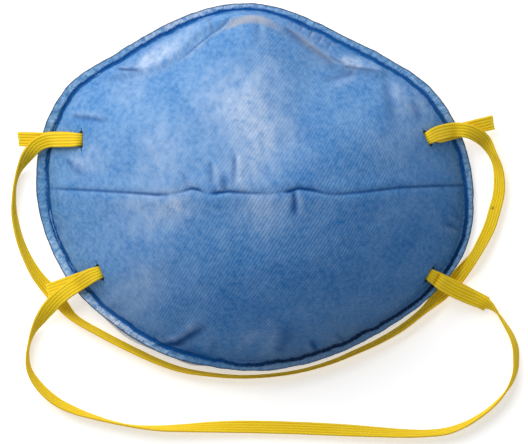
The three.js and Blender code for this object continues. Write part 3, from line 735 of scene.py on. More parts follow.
def cloth_length(bearing, inset):
    """Length over the cover from the crown: summed in small steps along even bearings, and read
    between them by the shares of both."""
    turns, steps = 180, 240  # at which the lengths are taken
    around, reach = np.meshgrid(
        np.arange(turns + 1) * 360 / turns, np.linspace(0, 1, steps + 1), indexing="ij")
    points, _ = cup_point(around, rim_radius(around) * (1 - reach), 0.0)
    length = np.zeros(around.shape)
    length[:, 1:] = np.cumsum(np.linalg.norm(np.diff(points, axis=1), axis=-1), axis=1)
    place = bearing / 360 * turns
    out = np.clip(1 - inset / rim_radius(bearing), 0, 1) * steps
    row = np.minimum(place.astype(int), turns - 1)
    column = np.minimum(out.astype(int), steps - 1)
    s, t = place - row, out - column
    near = length[row, column] * (1 - t) + length[row, column + 1] * t
    far = length[row + 1, column] * (1 - t) + length[row + 1, column + 1] * t
    return near * (1 - s) + far * s


# ---------------------------------------------------------------- meshes


def new_object(name, vertices, faces):
    """A mesh object from an array of points and a list of face arrays."""
    mesh = bpy.data.meshes.new(name)
    corners = np.concatenate([part.ravel() for part in faces])
    sizes = np.concatenate([np.full(len(part), part.shape[1]) for part in faces])
    mesh.vertices.add(len(vertices))
    mesh.vertices.foreach_set("co", vertices.astype(np.float32).ravel())
    mesh.loops.add(len(corners))
    mesh.loops.foreach_set("vertex_index", corners.astype(np.int32))
    mesh.polygons.add(len(sizes))
    starts = np.concatenate([[0], np.cumsum(sizes)[:-1]])
    mesh.polygons.foreach_set("loop_start", starts.astype(np.int32))
    mesh.update(calc_edges=True)
    mesh.validate()
    made = bpy.data.objects.new(name, mesh)
    bpy.context.scene.collection.objects.link(made)
    return made


def coordinates(mesh):
    """A mesh's points as an array."""
    points = np.empty(len(mesh.vertices) * 3, np.float32)
    mesh.vertices.foreach_get("co", points)
    return points.reshape(-1, 3).astype(float)


def set_uv(mesh, name, values):
    """A UV map from two numbers for each vertex."""
    corner = np.empty(len(mesh.loops), np.int32)
    mesh.loops.foreach_get("vertex_index", corner)
    layer = mesh.uv_layers.new(name=name)
    layer.uv.foreach_set("vector", values[corner].astype(np.float32).ravel())


def set_value(mesh, name, values):
    """A number for each vertex, as an attribute that materials read."""
    layer = mesh.attributes.new(name, "FLOAT", "POINT")
    layer.data.foreach_set("value", values.astype(np.float32))


def finish_piece(piece, node, material, *, sharp_angle):
    """Shades a piece smooth but for its sharp edges, and ties it to the frame."""
    mesh = piece.data
    mesh.polygons.foreach_set("use_smooth", np.ones(len(mesh.polygons), bool))
    mesh.set_sharp_from_angle(angle=math.radians(sharp_angle))
    mesh.materials.append(material)
    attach(piece, "root")
    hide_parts(node)


def ring_faces(counts):
    """Faces between rings of points. Rings of like counts are joined by quads, and where a ring
    has half as many points as its neighbour, by three triangles to each of its sides. The first
    and the last point of all are poles."""
    starts = np.concatenate([[0], np.cumsum(counts)])
    quads, triangles = [], []

    def add(faces, corners, flip):
        face = np.stack(corners, axis=1)
        faces.append(face[:, ::-1] if flip else face)

    def join(big, big_start, small, small_start, flip):
        k = np.arange(small)
        after = (k + 1) % small
        b0, b1 = small_start + k, small_start + after
        if big == small:
            add(quads, [big_start + k, big_start + after, b1, b0], flip)
            return
        a0, a1, a2 = (big_start + (2 * k + step) % big for step in range(3))
        for corners in ([a0, a1, b0], [a1, b1, b0], [a1, a2, b1]):
            add(triangles, corners, flip)

    def fan(pole, start, count, flip):
        k = np.arange(count)
        add(triangles, [start + k, start + (k + 1) % count, np.full(count, pole)], flip)

    fan(0, starts[1], counts[1], flip=False)
    for i in range(1, len(counts) - 2):
        here, there = counts[i], counts[i + 1]
        if here <= there:
            join(there, starts[i + 1], here, starts[i], flip=False)
        else:
            join(here, starts[i], there, starts[i + 1], flip=True)
    last = len(counts) - 2
    fan(starts[-1] - 1, starts[last], counts[last], flip=True)
    return [np.concatenate(quads), np.concatenate(triangles)]


# ---------------------------------------------------------------- walls as they are cut

FINE_COLUMNS = 960  # of a wall's grid at the rim, halved step by step towards the crown
FAR_ZONE = 0.016  # inset at which the rings stop following the rim
CUT_HEIGHT = 0.03  # of the prisms that cut the slits
BOWL_DEPTH = 4.0  # height lost per square metre of reach
COVER_NEAR = np.concatenate([
    np.linspace(0.00025, 0.0014, 4),
    np.linspace(0.0016, 0.0040, 16),
    np.linspace(0.0044, FAR_ZONE, 26),
])  # insets of the cover's rings near the rim, and of the shell's
SHELL_NEAR = np.concatenate([np.linspace(0.0003, 0.0040, 9), np.linspace(0.0048, FAR_ZONE, 13)])


def bowl(x, y):
    """The shallow bowl in which a wall is cut, before it takes the cup's form."""
    return -BOWL_DEPTH * (x * x + y * y)


def wall_rings(near, dome_rings, inner_rings):
    """The rings of a wall as rows of columns, inset, share of the way on to the crown, and share
    of the thickness: over the outer face, round the rim's rounded edge and back inside, where
    fewer rings and columns do. The columns are halved near the crown."""
    rows = []
    for share in np.linspace(1, 0, dome_rings, endpoint=False)[1:]:
        coarser = 8 if share > 0.9 else 4 if share > 0.7 else 2
        rows.append((FINE_COLUMNS // coarser, FAR_ZONE, share, 0))
    rows += [(FINE_COLUMNS, inset, 0, 0) for inset in near[::-1]]
    edge = near[0]
    for angle in np.radians([30, 60, 90, 120, 150]):
        rows.append((FINE_COLUMNS, edge * (1 - np.sin(angle)), 0, (1 - np.cos(angle)) / 2))
    rows.append((FINE_COLUMNS, edge, 0, 1))
    rows.append((FINE_COLUMNS // 2, near[3], 0, 1))
    rows += [(FINE_COLUMNS // 4, inset, 0, 1) for inset in np.linspace(near[6], FAR_ZONE, 9)]
    for share in np.linspace(0, 1, inner_rings, endpoint=False)[1:]:
        rows.append((FINE_COLUMNS // (8 if share > 0.85 else 4), FAR_ZONE, share, 1))
    return rows


def flat_wall(name, rows, wall, edge_inset):
    """A closed wall as it is cut, over the cup's plan: points at even bearings on each ring, at a
    height of the bowl less the thickness. edge_inset moves the edge, less and less inwards."""
    points = [np.array([[CROWN_X, CROWN_Y, bowl(CROWN_X, CROWN_Y)]])]
    for columns, inset, onward, share in rows:
        bearing = np.arange(columns) * 360 / columns
        rim = rim_radius(bearing)
        shift = edge_inset(bearing) * (1 - smoothstep(np.full(columns, inset), 0, FLANGE_WIDTH))
        reach = (rim - inset) * (1 - onward) - shift
        ring = plan_vector(bearing) * reach[:, None] + [CROWN_X, CROWN_Y, 0]
        ring[:, 2] = bowl(ring[:, 0], ring[:, 1]) - share * wall
        points.append(ring)
    points.append(np.array([[CROWN_X, CROWN_Y, bowl(CROWN_X, CROWN_Y) - wall]]))
    counts = [1] + [row[0] for row in rows] + [1]
    return new_object(name, np.concatenate(points), ring_faces(counts))


def slit_frame(slit):
    """A slit's middle on the cover's face, and its ways down the slope, along the slit and out."""
    place = np.array([[slit["x"], slit["y"], 0]])
    point, normal = (part[0] for part in cover_under(place))
    heading = plan_vector(slit["heading"])
    across = np.array([-heading[1], heading[0], 0])
    down = unit(np.cross(across, normal))
    return point, down, across, np.cross(down, across)


def cut_slits(wall):
    """Cuts the four slits through a flat wall: upright prisms, wide where the bands hold them
    open and narrow at both ends, and as wide as the slits look from above."""
    wide, tip, held, end = np.array([SLIT_OPEN, SLIT_TIP, SLIT_HELD, SLIT_LENGTH]) / 2
    neck = held + SLIT_NECK
    lower_lip = [[tip, -end], [tip, -neck], [SLIT_SHIFT + wide, -held]]
    upper_lip = [[-tip, end], [-tip, neck], [SLIT_SHIFT - wide, held]]
    mirrored = [[[x, -y] for x, y in lip[::-1]] for lip in (lower_lip, upper_lip)]
    outline = np.array(lower_lip + mirrored[0] + upper_lip + mirrored[1])
    corners = len(outline)
    prisms = []
    for slit in SLITS:
        _, down, across, _ = slit_frame(slit)
        middle = np.array([slit["x"], slit["y"], bowl(slit["x"], slit["y"])])
        ring = middle + outline[:, :1] * down * [1, 1, 0] + outline[:, 1:] * across
        prisms += [ring - [0, 0, CUT_HEIGHT / 2], ring + [0, 0, CUT_HEIGHT / 2]]
    lower = np.arange(corners) + 2 * corners * np.arange(len(SLITS))[:, None]
    after = np.roll(lower, -1, axis=1)
    sides = np.stack([lower, after, after + corners, lower + corners], axis=-1).reshape(-1, 4)
    faces = [sides, lower[:, ::-1], lower + corners]
    cutter = new_object("slit_cutter", np.concatenate(prisms), faces)
    cut = wall.modifiers.new("slits", "BOOLEAN")
    cut.operation, cut.solver, cut.object = "DIFFERENCE", "EXACT", cutter
    depsgraph = bpy.context.evaluated_depsgraph_get()
    mesh = bpy.data.meshes.new_from_object(wall.evaluated_get(depsgraph))
    wall.modifiers.clear()
    wall.data = mesh
    bpy.data.objects.remove(cutter)


def read_wall(mesh, wall):
    """Plan place, bearing, inset and share of the thickness of a flat wall's points."""
    points = coordinates(mesh)
    x, y = points[:, 0], points[:, 1]
    share = np.clip((bowl(x, y) - points[:, 2]) / wall, 0, 1)
    bearing, inset = to_polar(x, y)
    return x, y, bearing, inset, share


def write_points(mesh, points):
    mesh.vertices.foreach_set("co", points.astype(np.float32).ravel())
    mesh.update()


def set_cloth(mesh, bearing, inset):
    """The UV map along the cloth: the length over the dome from the crown, at its bearing."""
    length = cloth_length(bearing, inset)
    set_uv(mesh, "cloth", plan_vector(bearing)[:, :2] * length[:, None])


def patches(rows, x, y):
    """A sum of round bells in plan."""
    total = 0
    for row in rows:
        total = total + row["strength"] * hill(np.hypot(x - row["x"], y - row["y"]) / row["spread"])
    return total


def clip_show(bearing, inset):
    """How much the clip shows through the cover: a strip over the nose, and faintly one arm."""
    bow = CLIP_SHOW_BOW * ((bearing - CLIP_SHOW_MIDDLE) / CLIP_SHOW_BOW_AT) ** 2
    past = inset - (CLIP_SHOW_INSET + bow)
    strip = plateau(bearing, *CLIP_SHOW_SPAN) * plateau(past, *CLIP_SHOW_ACROSS)
    arm = hill((inset - shoulder_inset(bearing) + CLIP_ARM_OUT) / CLIP_ARM_WIDTH)
    arm *= CLIP_ARM_SHARE * hill((bearing - CLIP_ARM_MIDDLE) / CLIP_ARM_HALF)
    return np.maximum(strip, arm)


def cover_values(x, y, bearing, inset, share):
    """What the cover's material reads at its points. The marks are on its outer face only."""
    off, crease = crease_offset(x, y)
    _, folds, crest_highlights = fold_shape(x, y)
    darker_and_pocket_shade = patches(DEEP_PATCHES, x, y)
    # Painted shade in the pockets of the gathers
    for row in GATHERS:
        pocket = bell_at(row, bearing) * hill((inset - WELD_END) / POCKET_SHADE_REACH)
        darker_and_pocket_shade += pocket * row["depth"] / FULL_FOLD
    # Painted highlight on the swelling beside each fold, added to the pale patches
    pale = 0.7 * crest_highlights + patches(PALE_PATCHES, x, y)
    frayed = sum(row["amount"] * bell_at(row, bearing) for row in FRAYED_AND_SHADED_RIM)
    outside = 1 - share
    return {
        "weld_offset": weld_offset(bearing, inset) + share * INSIDE_SHIFT,
        "edge_inset": inset,
        "crease_offset": np.clip(off, -CREASE_FAR, CREASE_FAR),
        # Painted shade in the crease, by its depth
        "crease_shade": crease / FULL_CREASE_SHADE * outside,
        "fold_shade": folds * outside,
        "pale": np.clip(pale, 0, 1),
        "darker_and_pocket_shade": np.clip(darker_and_pocket_shade, 0, 1),
        "frayed": np.clip(frayed, -1, 1),
        "clip_show": clip_show(bearing, inset) * outside,
    }


def make_cover():
    """The cover: a flat wall, slit, then formed over the cup. The weld is a groove, a bell across
    its wandering line, pressed into the outer face only."""
    rings = wall_rings(COVER_NEAR, dome_rings=82, inner_rings=34)
    cover = flat_wall("cover", rings, COVER_WALL, np.zeros_like)
    cut_slits(cover)
    mesh = cover.data
    x, y, bearing, inset, share = read_wall(mesh, COVER_WALL)
    groove = WELD_GROOVE * hill(weld_offset(bearing, inset) / WELD_HALF)
    ragged = EDGE_RIPPLE * rim_waves(bearing, 0.0015, 0.012, 14, seed=13)
    ragged *= 1 - smoothstep(inset, 0, EDGE_RIPPLE_REACH)
    depth = share * COVER_WALL + (1 - share) * groove - clip_bulge(bearing, inset)
    fine = fine_relief(bearing, inset, x, y)
    fine = (1 - share) * pressed_in(fine, OUTER_HOLLOW) + share * pressed_in(fine, INNER_HOLLOW)
    points, _ = cup_point(bearing, inset + ragged, depth, fine)
    write_points(mesh, points)
    set_cloth(mesh, bearing, inset)
    for name, values in cover_values(x, y, bearing, inset, share).items():
        set_value(mesh, name, values)
    finish_piece(cover, "outer_cover", cover_material(), sharp_angle=50)


def shell_edge(bearing):
    """Inset of the shell's edge: tucked under the cover's, but for bells where it peeps out."""
    return SHELL_TUCK - sum(row["reach"] * bell_at(row, bearing) for row in SHELL_PEEPS)


def make_shell():
    """The shell: a flat wall, slit, then formed under the cover, smooth."""
    rings = wall_rings(SHELL_NEAR, dome_rings=52, inner_rings=52)
    shell = flat_wall("shell", rings, SHELL_WALL, shell_edge)
    cut_slits(shell)
    mesh = shell.data
    _, _, bearing, inset, share = read_wall(mesh, SHELL_WALL)
    depth = COVER_WALL + LAYER_GAP + share * SHELL_WALL
    points, _ = cup_point(bearing, inset, depth)
    write_points(mesh, points)
    set_cloth(mesh, bearing, inset)
    set_value(mesh, "edge_inset", inset)
    finish_piece(shell, "inner_shell", shell_material(), sharp_angle=50)


# ---------------------------------------------------------------- nose clip


def tube_faces(stations, around):
    """Quads of a tube of closed sections, and a flat cap at both ends."""
    s, k = np.meshgrid(np.arange(stations - 1), np.arange(around), indexing="ij")
    after = (k + 1) % around
    here, there = s * around, (s + 1) * around
    quads = np.stack([here + k, here + after, there + after, there + k], axis=-1)
    first = np.arange(around)[::-1]
    return [quads.reshape(-1, 4), first[None], (first[::-1] + (stations - 1) * around)[None]]


def make_clip():
    """The clip: a rounded flat section carried along the shoulder between cover and shell. Its
    width runs inwards down the wall, and its ends are half rounds."""
    bearing = np.linspace(CLIP_FIRST, CLIP_LAST, CLIP_SECTIONS)
    ridge = shoulder_inset(bearing)
    near, far = (cup_point(bearing, ridge - out, 0.0)[0] for out in CLIP_PROBE)
    steep = np.linalg.norm(near - far, axis=1) / (CLIP_PROBE[1] - CLIP_PROBE[0])
    width = np.minimum(CLIP_WIDTH / steep, ridge - WELD_END - TOE_GAP)
    ends = np.minimum(bearing - CLIP_FIRST, CLIP_LAST - bearing) / CLIP_ROUND
    round_end = np.sqrt(np.clip(1 - (1 - np.clip(ends, CLIP_TIP, 1)) ** 2, 0, 1))
    angle = np.linspace(0, 2 * np.pi, CLIP_POINTS, endpoint=False)
    across, through = (
        np.sign(wave) * np.abs(wave) ** CLIP_CORNER / 2 for wave in (np.cos(angle), np.sin(angle))
    )
    inset = (ridge - width / 2)[:, None] + (width * round_end)[:, None] * across
    middle = COVER_WALL + LAYER_GAP - CLIP_GAP - CLIP_THICK / 2
    depth = middle - CLIP_THICK * through * np.ones_like(inset)
    points, _ = cup_point(np.repeat(bearing[:, None], len(angle), axis=1), inset, depth)
    clip = new_object("clip", points.reshape(-1, 3), tube_faces(len(bearing), len(angle)))
    turn_out(clip.data)
    run = np.repeat(np.radians(bearing)[:, None] * CLIP_REACH, len(angle), axis=1)
    set_uv(clip.data, "strip", np.stack([run, inset], axis=-1).reshape(-1, 2))
    finish_piece(clip, "nose_clip", clip_material(), sharp_angle=60)


def turn_out(mesh):
    """Turns a closed mesh's faces outwards if its signed volume is negative."""
    mesh.calc_loop_triangles()
    corner = np.empty(len(mesh.loop_triangles) * 3, np.int32)
    mesh.loop_triangles.foreach_get("vertices", corner)
    a, b, c = coordinates(mesh)[corner.reshape(-1, 3)].transpose(1, 0, 2)
    if np.einsum("ij,ij->", a, np.cross(b, c)) < 0:
        mesh.flip_normals()


# ---------------------------------------------------------------- straps


def band_end(slit):
    """Places and width directions of a band's end: the cut end over the rim, up the cover, in
    through the slit and out again. The width lies along the slit, or flat on the cover."""
    point, down, across, out = slit_frame(slit)
    _, inset = to_polar(slit["x"], slit["y"])
    at = np.array([slit["x"], slit["y"], 0])
    way = plan_vector(slit["tail_heading"])
    kept = [value for value in TAIL_INSETS if value < inset - TAIL_FROM_SLIT]
    middle = at + way * (inset - np.array([0] + kept))[:, None]
    cover, normal = cover_under(middle)
    left, right = (cover_under(middle + side * BAND_WIDTH / 2 * across)[0] for side in (-1, 1))
    resting = cover + normal * TAIL_CLEARANCE
    flat = unit(right - left)
    past_rim = at + way * np.array([[slit["tail_length"]], [inset + PAST_RIM]])
    past_rim[:, 2] = resting[0, 2] - np.array([slit["tail_hang"], 0])
    hairpin = point + HAIRPIN["down"][:, None] * down + HAIRPIN["out"][:, None] * out
    places = np.concatenate([past_rim, resting[1:], hairpin])
    beside = np.broadcast_to(across, hairpin.shape)
    return places, np.concatenate([flat[[0, 0]], flat[1:], beside])


def rest_height(run):
    """Height of the middle of a band that lies on the surface or runs over the cover."""
    lean = np.radians(run["lean"])
    half = (BAND_WIDTH * np.abs(np.sin(lean)) + BAND_THICK * np.abs(np.cos(lean))) / 2
    bearing, inset = to_polar(run["x"], run["y"])
    point, normal = cup_point(bearing, inset, 0.0)
    over_cover = np.where(inset > 0, point[:, 2] + RUN_CLEARANCE / normal[:, 2], 0)
    return np.maximum(FLOOR_GAP + half, over_cover)


def band_route(start, run, end):
    """Stations of a whole band, as places and width directions: one end, the free run, where the
    width rolls by the lean about the band's own line, and the other end turned round."""
    first, first_width = band_end(start)
    last, last_width = band_end(end)
    free = np.stack([run["x"], run["y"], rest_height(run) + run["lift"]], axis=1)
    places = np.concatenate([first, free, last[::-1]])
    steps = unit(np.diff(places, axis=0))
    tangent = unit(np.concatenate([steps[:1], steps[1:] + steps[:-1], steps[-1:]]))
    lean = np.radians(run["lean"])[:, None]
    left = unit(np.cross([0, 0, 1], tangent[len(first):-len(last)]))
    free_width = left * np.cos(lean) + np.array([0, 0, 1]) * np.sin(lean)
    return places, np.concatenate([first_width, free_width, -last_width[::-1]])


def smooth_route(places, widths, step):
    """Places, tangents, unit widths and distances from the start at even steps on a curve through
    the stations: centripetal Catmull-Rom cubics, whose knots are apart by the square roots of the
    distances."""
    gaps = np.sqrt(np.linalg.norm(np.diff(places, axis=0), axis=1))
    knots = np.concatenate([[0], np.cumsum(gaps)])
    values = np.concatenate([places, widths], axis=1)
    slope = np.gradient(values, knots, axis=0)
    t = np.linspace(0, knots[-1], ROUTE_STEPS)
    k = np.clip(np.searchsorted(knots, t, side="right") - 1, 0, len(knots) - 2)
    span = (knots[k + 1] - knots[k])[:, None]
    s = (t - knots[k])[:, None] / span
    fine = (
        (1 + 2 * s) * (1 - s) ** 2 * values[k]
        + s * (1 - s) ** 2 * span * slope[k]
        + s * s * (3 - 2 * s) * values[k + 1]
        + s * s * (s - 1) * span * slope[k + 1]
    )
    length = np.concatenate([[0], np.cumsum(np.linalg.norm(np.diff(fine[:, :3], axis=0), axis=1))])
    even = np.linspace(0, length[-1], int(length[-1] / step) + 1)
    line = np.stack([np.interp(even, length, column) for column in fine.T], axis=1)
    tangent = unit(np.gradient(line[:, :3], axis=0))
    wide = line[:, 3:] - tangent * (line[:, 3:] * tangent).sum(axis=1, keepdims=True)
    return line[:, :3], tangent, unit(wide), even


def band_section():
    """The section of the ribbed elastic: ribs as rounded arches on both faces, at even steps
    across, and the thickness falling to nothing at both edges. Returns offsets across and
    through, once round."""
    face = np.linspace(1, -1, RIB_POINTS * RIBS + 1)
    across = np.concatenate([face, face[-2:0:-1]])
    side = np.concatenate([np.ones(len(face)), -np.ones(len(face) - 2)])
    arch = np.abs(np.cos(np.pi / 2 * RIBS * across)) ** RIB_ARCH
    rounded = np.sqrt(1 - np.abs(across) ** BAND_EDGE)
    through = side * rounded * (BAND_THICK / 2 - RIB_DEPTH * (1 - arch))
    return across * BAND_WIDTH / 2, through


def pinch(line, slits):
    """How strongly a slit squeezes the band at each place, a bell of the distance to the slit,
    and the same as vectors down the cover's slope, the way that the band's corners are pulled,
    twice as far on the pass that comes out as on the one that goes in."""
    amount, pull = 0, 0
    for slit in slits:
        point, down, _, _ = slit_frame(slit)
        near = hill(np.linalg.norm(line - point, axis=1) / PINCH_REACH)
        leaving = 2 - smoothstep((line - point) @ down, 0, PULL_CHANGE)
        amount = amount + near
        pull = pull + (near * leaving)[:, None] * down
    return amount, pull


def tucked(points, slits):
    """How far the points have gone into a slit, from 0 at the cover's face to 1 below it: the mask of
    the painted shade in the slit.
    """
    depth = 0
    for slit in slits:
        point, _, _, out = slit_frame(slit)
        near = 1 - smoothstep(np.linalg.norm(points - point, axis=-1), *TUCK_REACH)
        depth = depth + near * (1 - smoothstep((points - point) @ out, TUCK_FULL, TUCK_FIRST))
    return depth


def make_band(name, node, start, run, end, seed, material):
    """A band: its ribbed section carried along its smooth route. The elastic's width and its
    edges waver a little, and the cut ends are ragged."""
    places, widths = band_route(start, run, end)
    line, tangent, wide, even = smooth_route(places, widths, BAND_STEP)
    thick = np.cross(tangent, wide)
    across, through = band_section()
    waver = 1 + BAND_WAVER * waves(even[:, None], 0.003, 0.02, 10, seed)[:, None]
    pinched, pull = pinch(line, (start, end))
    waver *= 1 - PINCH * pinched[:, None]
    place = np.stack(np.broadcast_arrays(even[:, None], RIB_STRETCH * across), axis=-1)
    ribs = 1 + RIB_WAVER * waves(place, 0.0012, 0.006, 16, seed + 1)
    u = across * waver
    v = through * ribs
    points = line[:, None] + wide[:, None] * u[..., None] + thick[:, None] * v[..., None]
    corner = np.abs(across / across.max()) ** CORNER_CURVE
    points += pull[:, None] * (CORNER_PULL * corner)[:, None]
    ragged = BAND_FRAY * waves(across[:, None], 0.0004, 0.004, 12, seed + 2)[:, None]
    points[0] -= tangent[0] * ragged
    points[-1] += tangent[-1] * ragged
    band = new_object(name, points.reshape(-1, 3), tube_faces(len(line), len(across)))
    turn_out(band.data)
    uv = np.stack(np.broadcast_arrays(even[:, None], across[None]), axis=-1)
    set_uv(band.data, "band", uv.reshape(-1, 2))
    fray = np.minimum(even, even[-1] - even)
    set_value(band.data, "from_end", np.repeat(fray, len(across)))
    # Painted shade where the band goes into a slit
    set_value(band.data, "tucked", tucked(points, (start, end)).ravel())
    from_stain = np.linalg.norm(points[..., :2] - STAIN_PLACE, axis=-1)
    set_value(band.data, "stain", hill(from_stain / STAIN_SPREAD).ravel())
    finish_piece(band, node, material, sharp_angle=70)
    exit_point, *_ = slit_frame(start)


# ---------------------------------------------------------------- wiring of materials


class Signal:
    """An output in a node tree. Arithmetic on it adds a Math node and gives that node's output."""

    def __init__(self, wires, socket):
        self.wires, self.socket = wires, socket

    def __add__(self, other):
        return self.wires.maths("ADD", self, other)

    def __radd__(self, other):
        return self.wires.maths("ADD", other, self)

    def __sub__(self, other):
        return self.wires.maths("SUBTRACT", self, other)

    def __rsub__(self, other):
        return self.wires.maths("SUBTRACT", other, self)

    def __mul__(self, other):
        return self.wires.maths("MULTIPLY", self, other)

    def __truediv__(self, other):
        return self.wires.maths("DIVIDE", self, other)

    def __abs__(self):
        return self.wires.maths("ABSOLUTE", self)

    def clamped(self):
        """The same signal, which its Math node now holds between 0 and 1."""
        self.socket.node.use_clamp = True
        return self

    def span(self, low, high, start=0.0, end=1.0):
        """start below low, end above high, and smooth between."""
        inputs = {"Value": self, "From Min": low, "From Max": high, "To Min": start, "To Max": end}
        kind = {"interpolation_type": "SMOOTHSTEP"}
        return self.wires.signal("ShaderNodeMapRange", inputs, "Result", **kind)


class Wiring:
    """Adds nodes to a tree, with numbers, colours or signals on their inputs."""

    def __init__(self, tree):
        self.tree = tree

    def link(self, value, socket):
        """Leads a signal into a socket, or sets a plain value on it."""
        if isinstance(value, Signal):
            self.tree.links.new(value.socket, socket)
        else:
            socket.default_value = value

    def add(self, kind, inputs=None, **settings):
        node = self.tree.nodes.new(kind)
        for name, value in settings.items():
            setattr(node, name, value)
        for key, value in (inputs or {}).items():
            self.link(value, node.inputs[key])
        return node

    def signal(self, kind, inputs=None, output=0, **settings):
        """One output of a new node."""
        return Signal(self, self.add(kind, inputs, **settings).outputs[output])

    def signals(self, node):
        """All outputs of a node by name."""
        return {socket.name: Signal(self, socket) for socket in node.outputs}

    def maths(self, operation, *values):
        return self.signal("ShaderNodeMath", dict(enumerate(values)), operation=operation)

    def vector(self, operation, *values, output=0):
        return self.signal("ShaderNodeVectorMath", dict(enumerate(values)), output, operation=operation)

    def mix(self, share, first, second):
        return self.signal("ShaderNodeMix", {0: share, 6: first, 7: second}, 2, data_type="RGBA")

    def split(self, vector):
        """A vector's x, y and z."""
        return self.signals(self.add("ShaderNodeSeparateXYZ", {0: vector})).values()

    def per(self, vector, size):
        """A vector divided by a size."""
        sizes = self.signal("ShaderNodeCombineXYZ", dict.fromkeys(range(3), size))
        return self.vector("DIVIDE", vector, sizes)

    def scaled(self, vector, x, y, z=1.0):
        return self.vector("MULTIPLY", vector, (x, y, z))

    def turned(self, vector, degrees):
        """A vector turned about Z."""
        inputs = {"Vector": vector, "Angle": math.radians(degrees)}
        return self.signal("ShaderNodeVectorRotate", inputs, rotation_type="Z_AXIS")

    def from_crown(self, place):
        """The level vector from the crown to a place."""
        return self.vector("SUBTRACT", self.scaled(place, 1.0, 1.0, 0.0), (CROWN_X, CROWN_Y, 0.0))

    def noise(self, vector, detail=2.0, roughness=0.5):
        """Noise with features one unit long."""
        inputs = {"Vector": vector, "Scale": 1.0, "Detail": detail, "Roughness": roughness}
        return self.signal("ShaderNodeTexNoise", inputs, "Fac")

    def place(self):
        """The place on the object, in metres."""
        return self.signal("ShaderNodeTexCoord", output="Object")

    def uv(self, name):
        return self.signal("ShaderNodeUVMap", output="UV", uv_map=name)

    def value(self, name):
        """A number kept on the mesh."""
        return self.signal("ShaderNodeAttribute", output="Fac", attribute_name=name)

    def bump(self, height, distance):
        """A normal from a height of 0 to 1, scaled to a distance."""
        inputs = {"Height": height, "Distance": distance, "Strength": 1.0}
        return self.signal("ShaderNodeBump", inputs, "Normal")

    def group(self, name, build, inputs):
        """The outputs of a shared group, which is built the first time that it is asked for."""
        tree = bpy.data.node_groups.get(name) or build(name)
        return self.signals(self.add("ShaderNodeGroup", inputs, node_tree=tree))

    def clouds(self, vector, size):
        """Soft clouds of a size."""
        return self.group("dye_clouds", build_clouds, {"Vector": vector, "Size": size})["Clouds"]

    def bonds(self, vector, pitch):
        """The bonds, the fibres and the height of bonded cloth."""
        cloth = self.group("bonded_cloth", build_bonded_cloth, {"Vector": vector, "Pitch": pitch})
        return cloth["Bond"], cloth["Fibres"], cloth["Height"]


def new_group(name, size, outputs):
    """An empty node group whose inputs are a vector and a size under that name, with number
    outputs: its tree, a wiring, its two inputs and its outputs' sockets."""
    tree = bpy.data.node_groups.new(name, "ShaderNodeTree")
    tree.interface.new_socket("Vector", in_out="INPUT", socket_type="NodeSocketVector")
    tree.interface.new_socket(size, in_out="INPUT", socket_type="NodeSocketFloat")
    for label in outputs:
        tree.interface.new_socket(label, in_out="OUTPUT", socket_type="NodeSocketFloat")
    wires = Wiring(tree)
    source = wires.signals(wires.add("NodeGroupInput"))
    return tree, wires, source["Vector"], source[size], wires.add("NodeGroupOutput").inputs


def build_bonded_cloth(name):
    """Nonwoven cloth: slanting rows of small pressed bonds, each row half a step on from the last,
    as a sum of two cosines, and loose fibres between."""
    tree, wires, vector, pitch, sink = new_group(name, "Pitch", ("Bond", "Fibres", "Height"))
    units = wires.per(vector, pitch)
    drift = {"Vector": units, "Scale": 0.35, "Detail": 1.0}
    wander = wires.signal("ShaderNodeTexNoise", drift, "Color")
    moved = wires.vector("ADD", units, wires.scaled(wander, 0.5, 0.5, 0.0))
    x, y, _ = wires.split(wires.turned(moved, -ROW_SLANT))
    rows = wires.maths("COSINE", y * (2 * math.pi))
    steps = wires.maths("COSINE", (x * 1.2 + y * 0.5) * (2 * math.pi))
    bond = (rows + steps * 0.4).span(0.1, 1.15)
    first, second, third = (
        wires.noise(wires.scaled(wires.turned(moved, degrees), 1.1, 8.0), detail=3.0, roughness=0.6)
        for degrees in FIBRE_SLANTS
    )
    fibres = wires.maths("MAXIMUM", first, wires.maths("MAXIMUM", second, third))
    wires.link(bond, sink["Bond"])
    wires.link(fibres.span(0.45, 0.75), sink["Fibres"])
    wires.link(fibres * (1.0 - bond * 0.8) - bond * 0.55, sink["Height"])
    return tree


def build_clouds(name):
    """Soft clouds from 0 to 1, of a size given, with smaller ones at their edges."""
    tree, wires, vector, size, sink = new_group(name, "Size", ["Clouds"])
    noise = wires.noise(wires.per(vector, size), detail=4.0, roughness=0.55)
    wires.link(noise.span(0.30, 0.70), sink["Clouds"])
    return tree


def new_material(name):
    """A material with a Principled shader, its wiring and that shader's inputs."""
    material = bpy.data.materials.new(name)
    material.use_nodes = True
    wires = Wiring(material.node_tree)
    return material, wires, material.node_tree.nodes["Principled BSDF"].inputs


# ---------------------------------------------------------------- materials

ROW_SLANT = 58  # degrees from +X of the rows of bonds
FIBRE_SLANTS = (20, 75, -40)
BROAD_CLOUDS, SMALL_CLOUDS, FLECKS = 0.016, 0.0036, 0.0017  # sizes of the cover's clouds
BLOTS, SPECKS, TICKS = 560.0, 1300.0, 42.0  # how many lie in a metre, and ticks in a radian of rim
CHIN_LEAN, CHIN_SHADE_OVER = 0.6, (-0.01, 0.06)  # x's share in the way to the chin, and where painted shade darkens the dye there
GREY_SHADE_LEAN, GREY_SHADE_OVER = 0.35, (0.044, 0.066)  # and the same for the grey painted shade at the chin
GREY_SHADE_SPARED_FROM = (0.0035, 0.0050)  # insets from which deep and pale patches there are spared the grey painted shade
FLANGE_FADE = (-0.0010, -0.0005)  # offsets from the weld's middle over which the flange ends
WELD_FADE_IN, WELD_FADE_OUT = (-0.0007, -0.0003), (0.0004, 0.0010)  # and the weld begins and ends
WELD_SPECKLE = 0.0009  # how far specks shift them
WELD_SHADE_OVER = (0.036, 0.066)  # the way to the chin over which painted shade darkens the weld
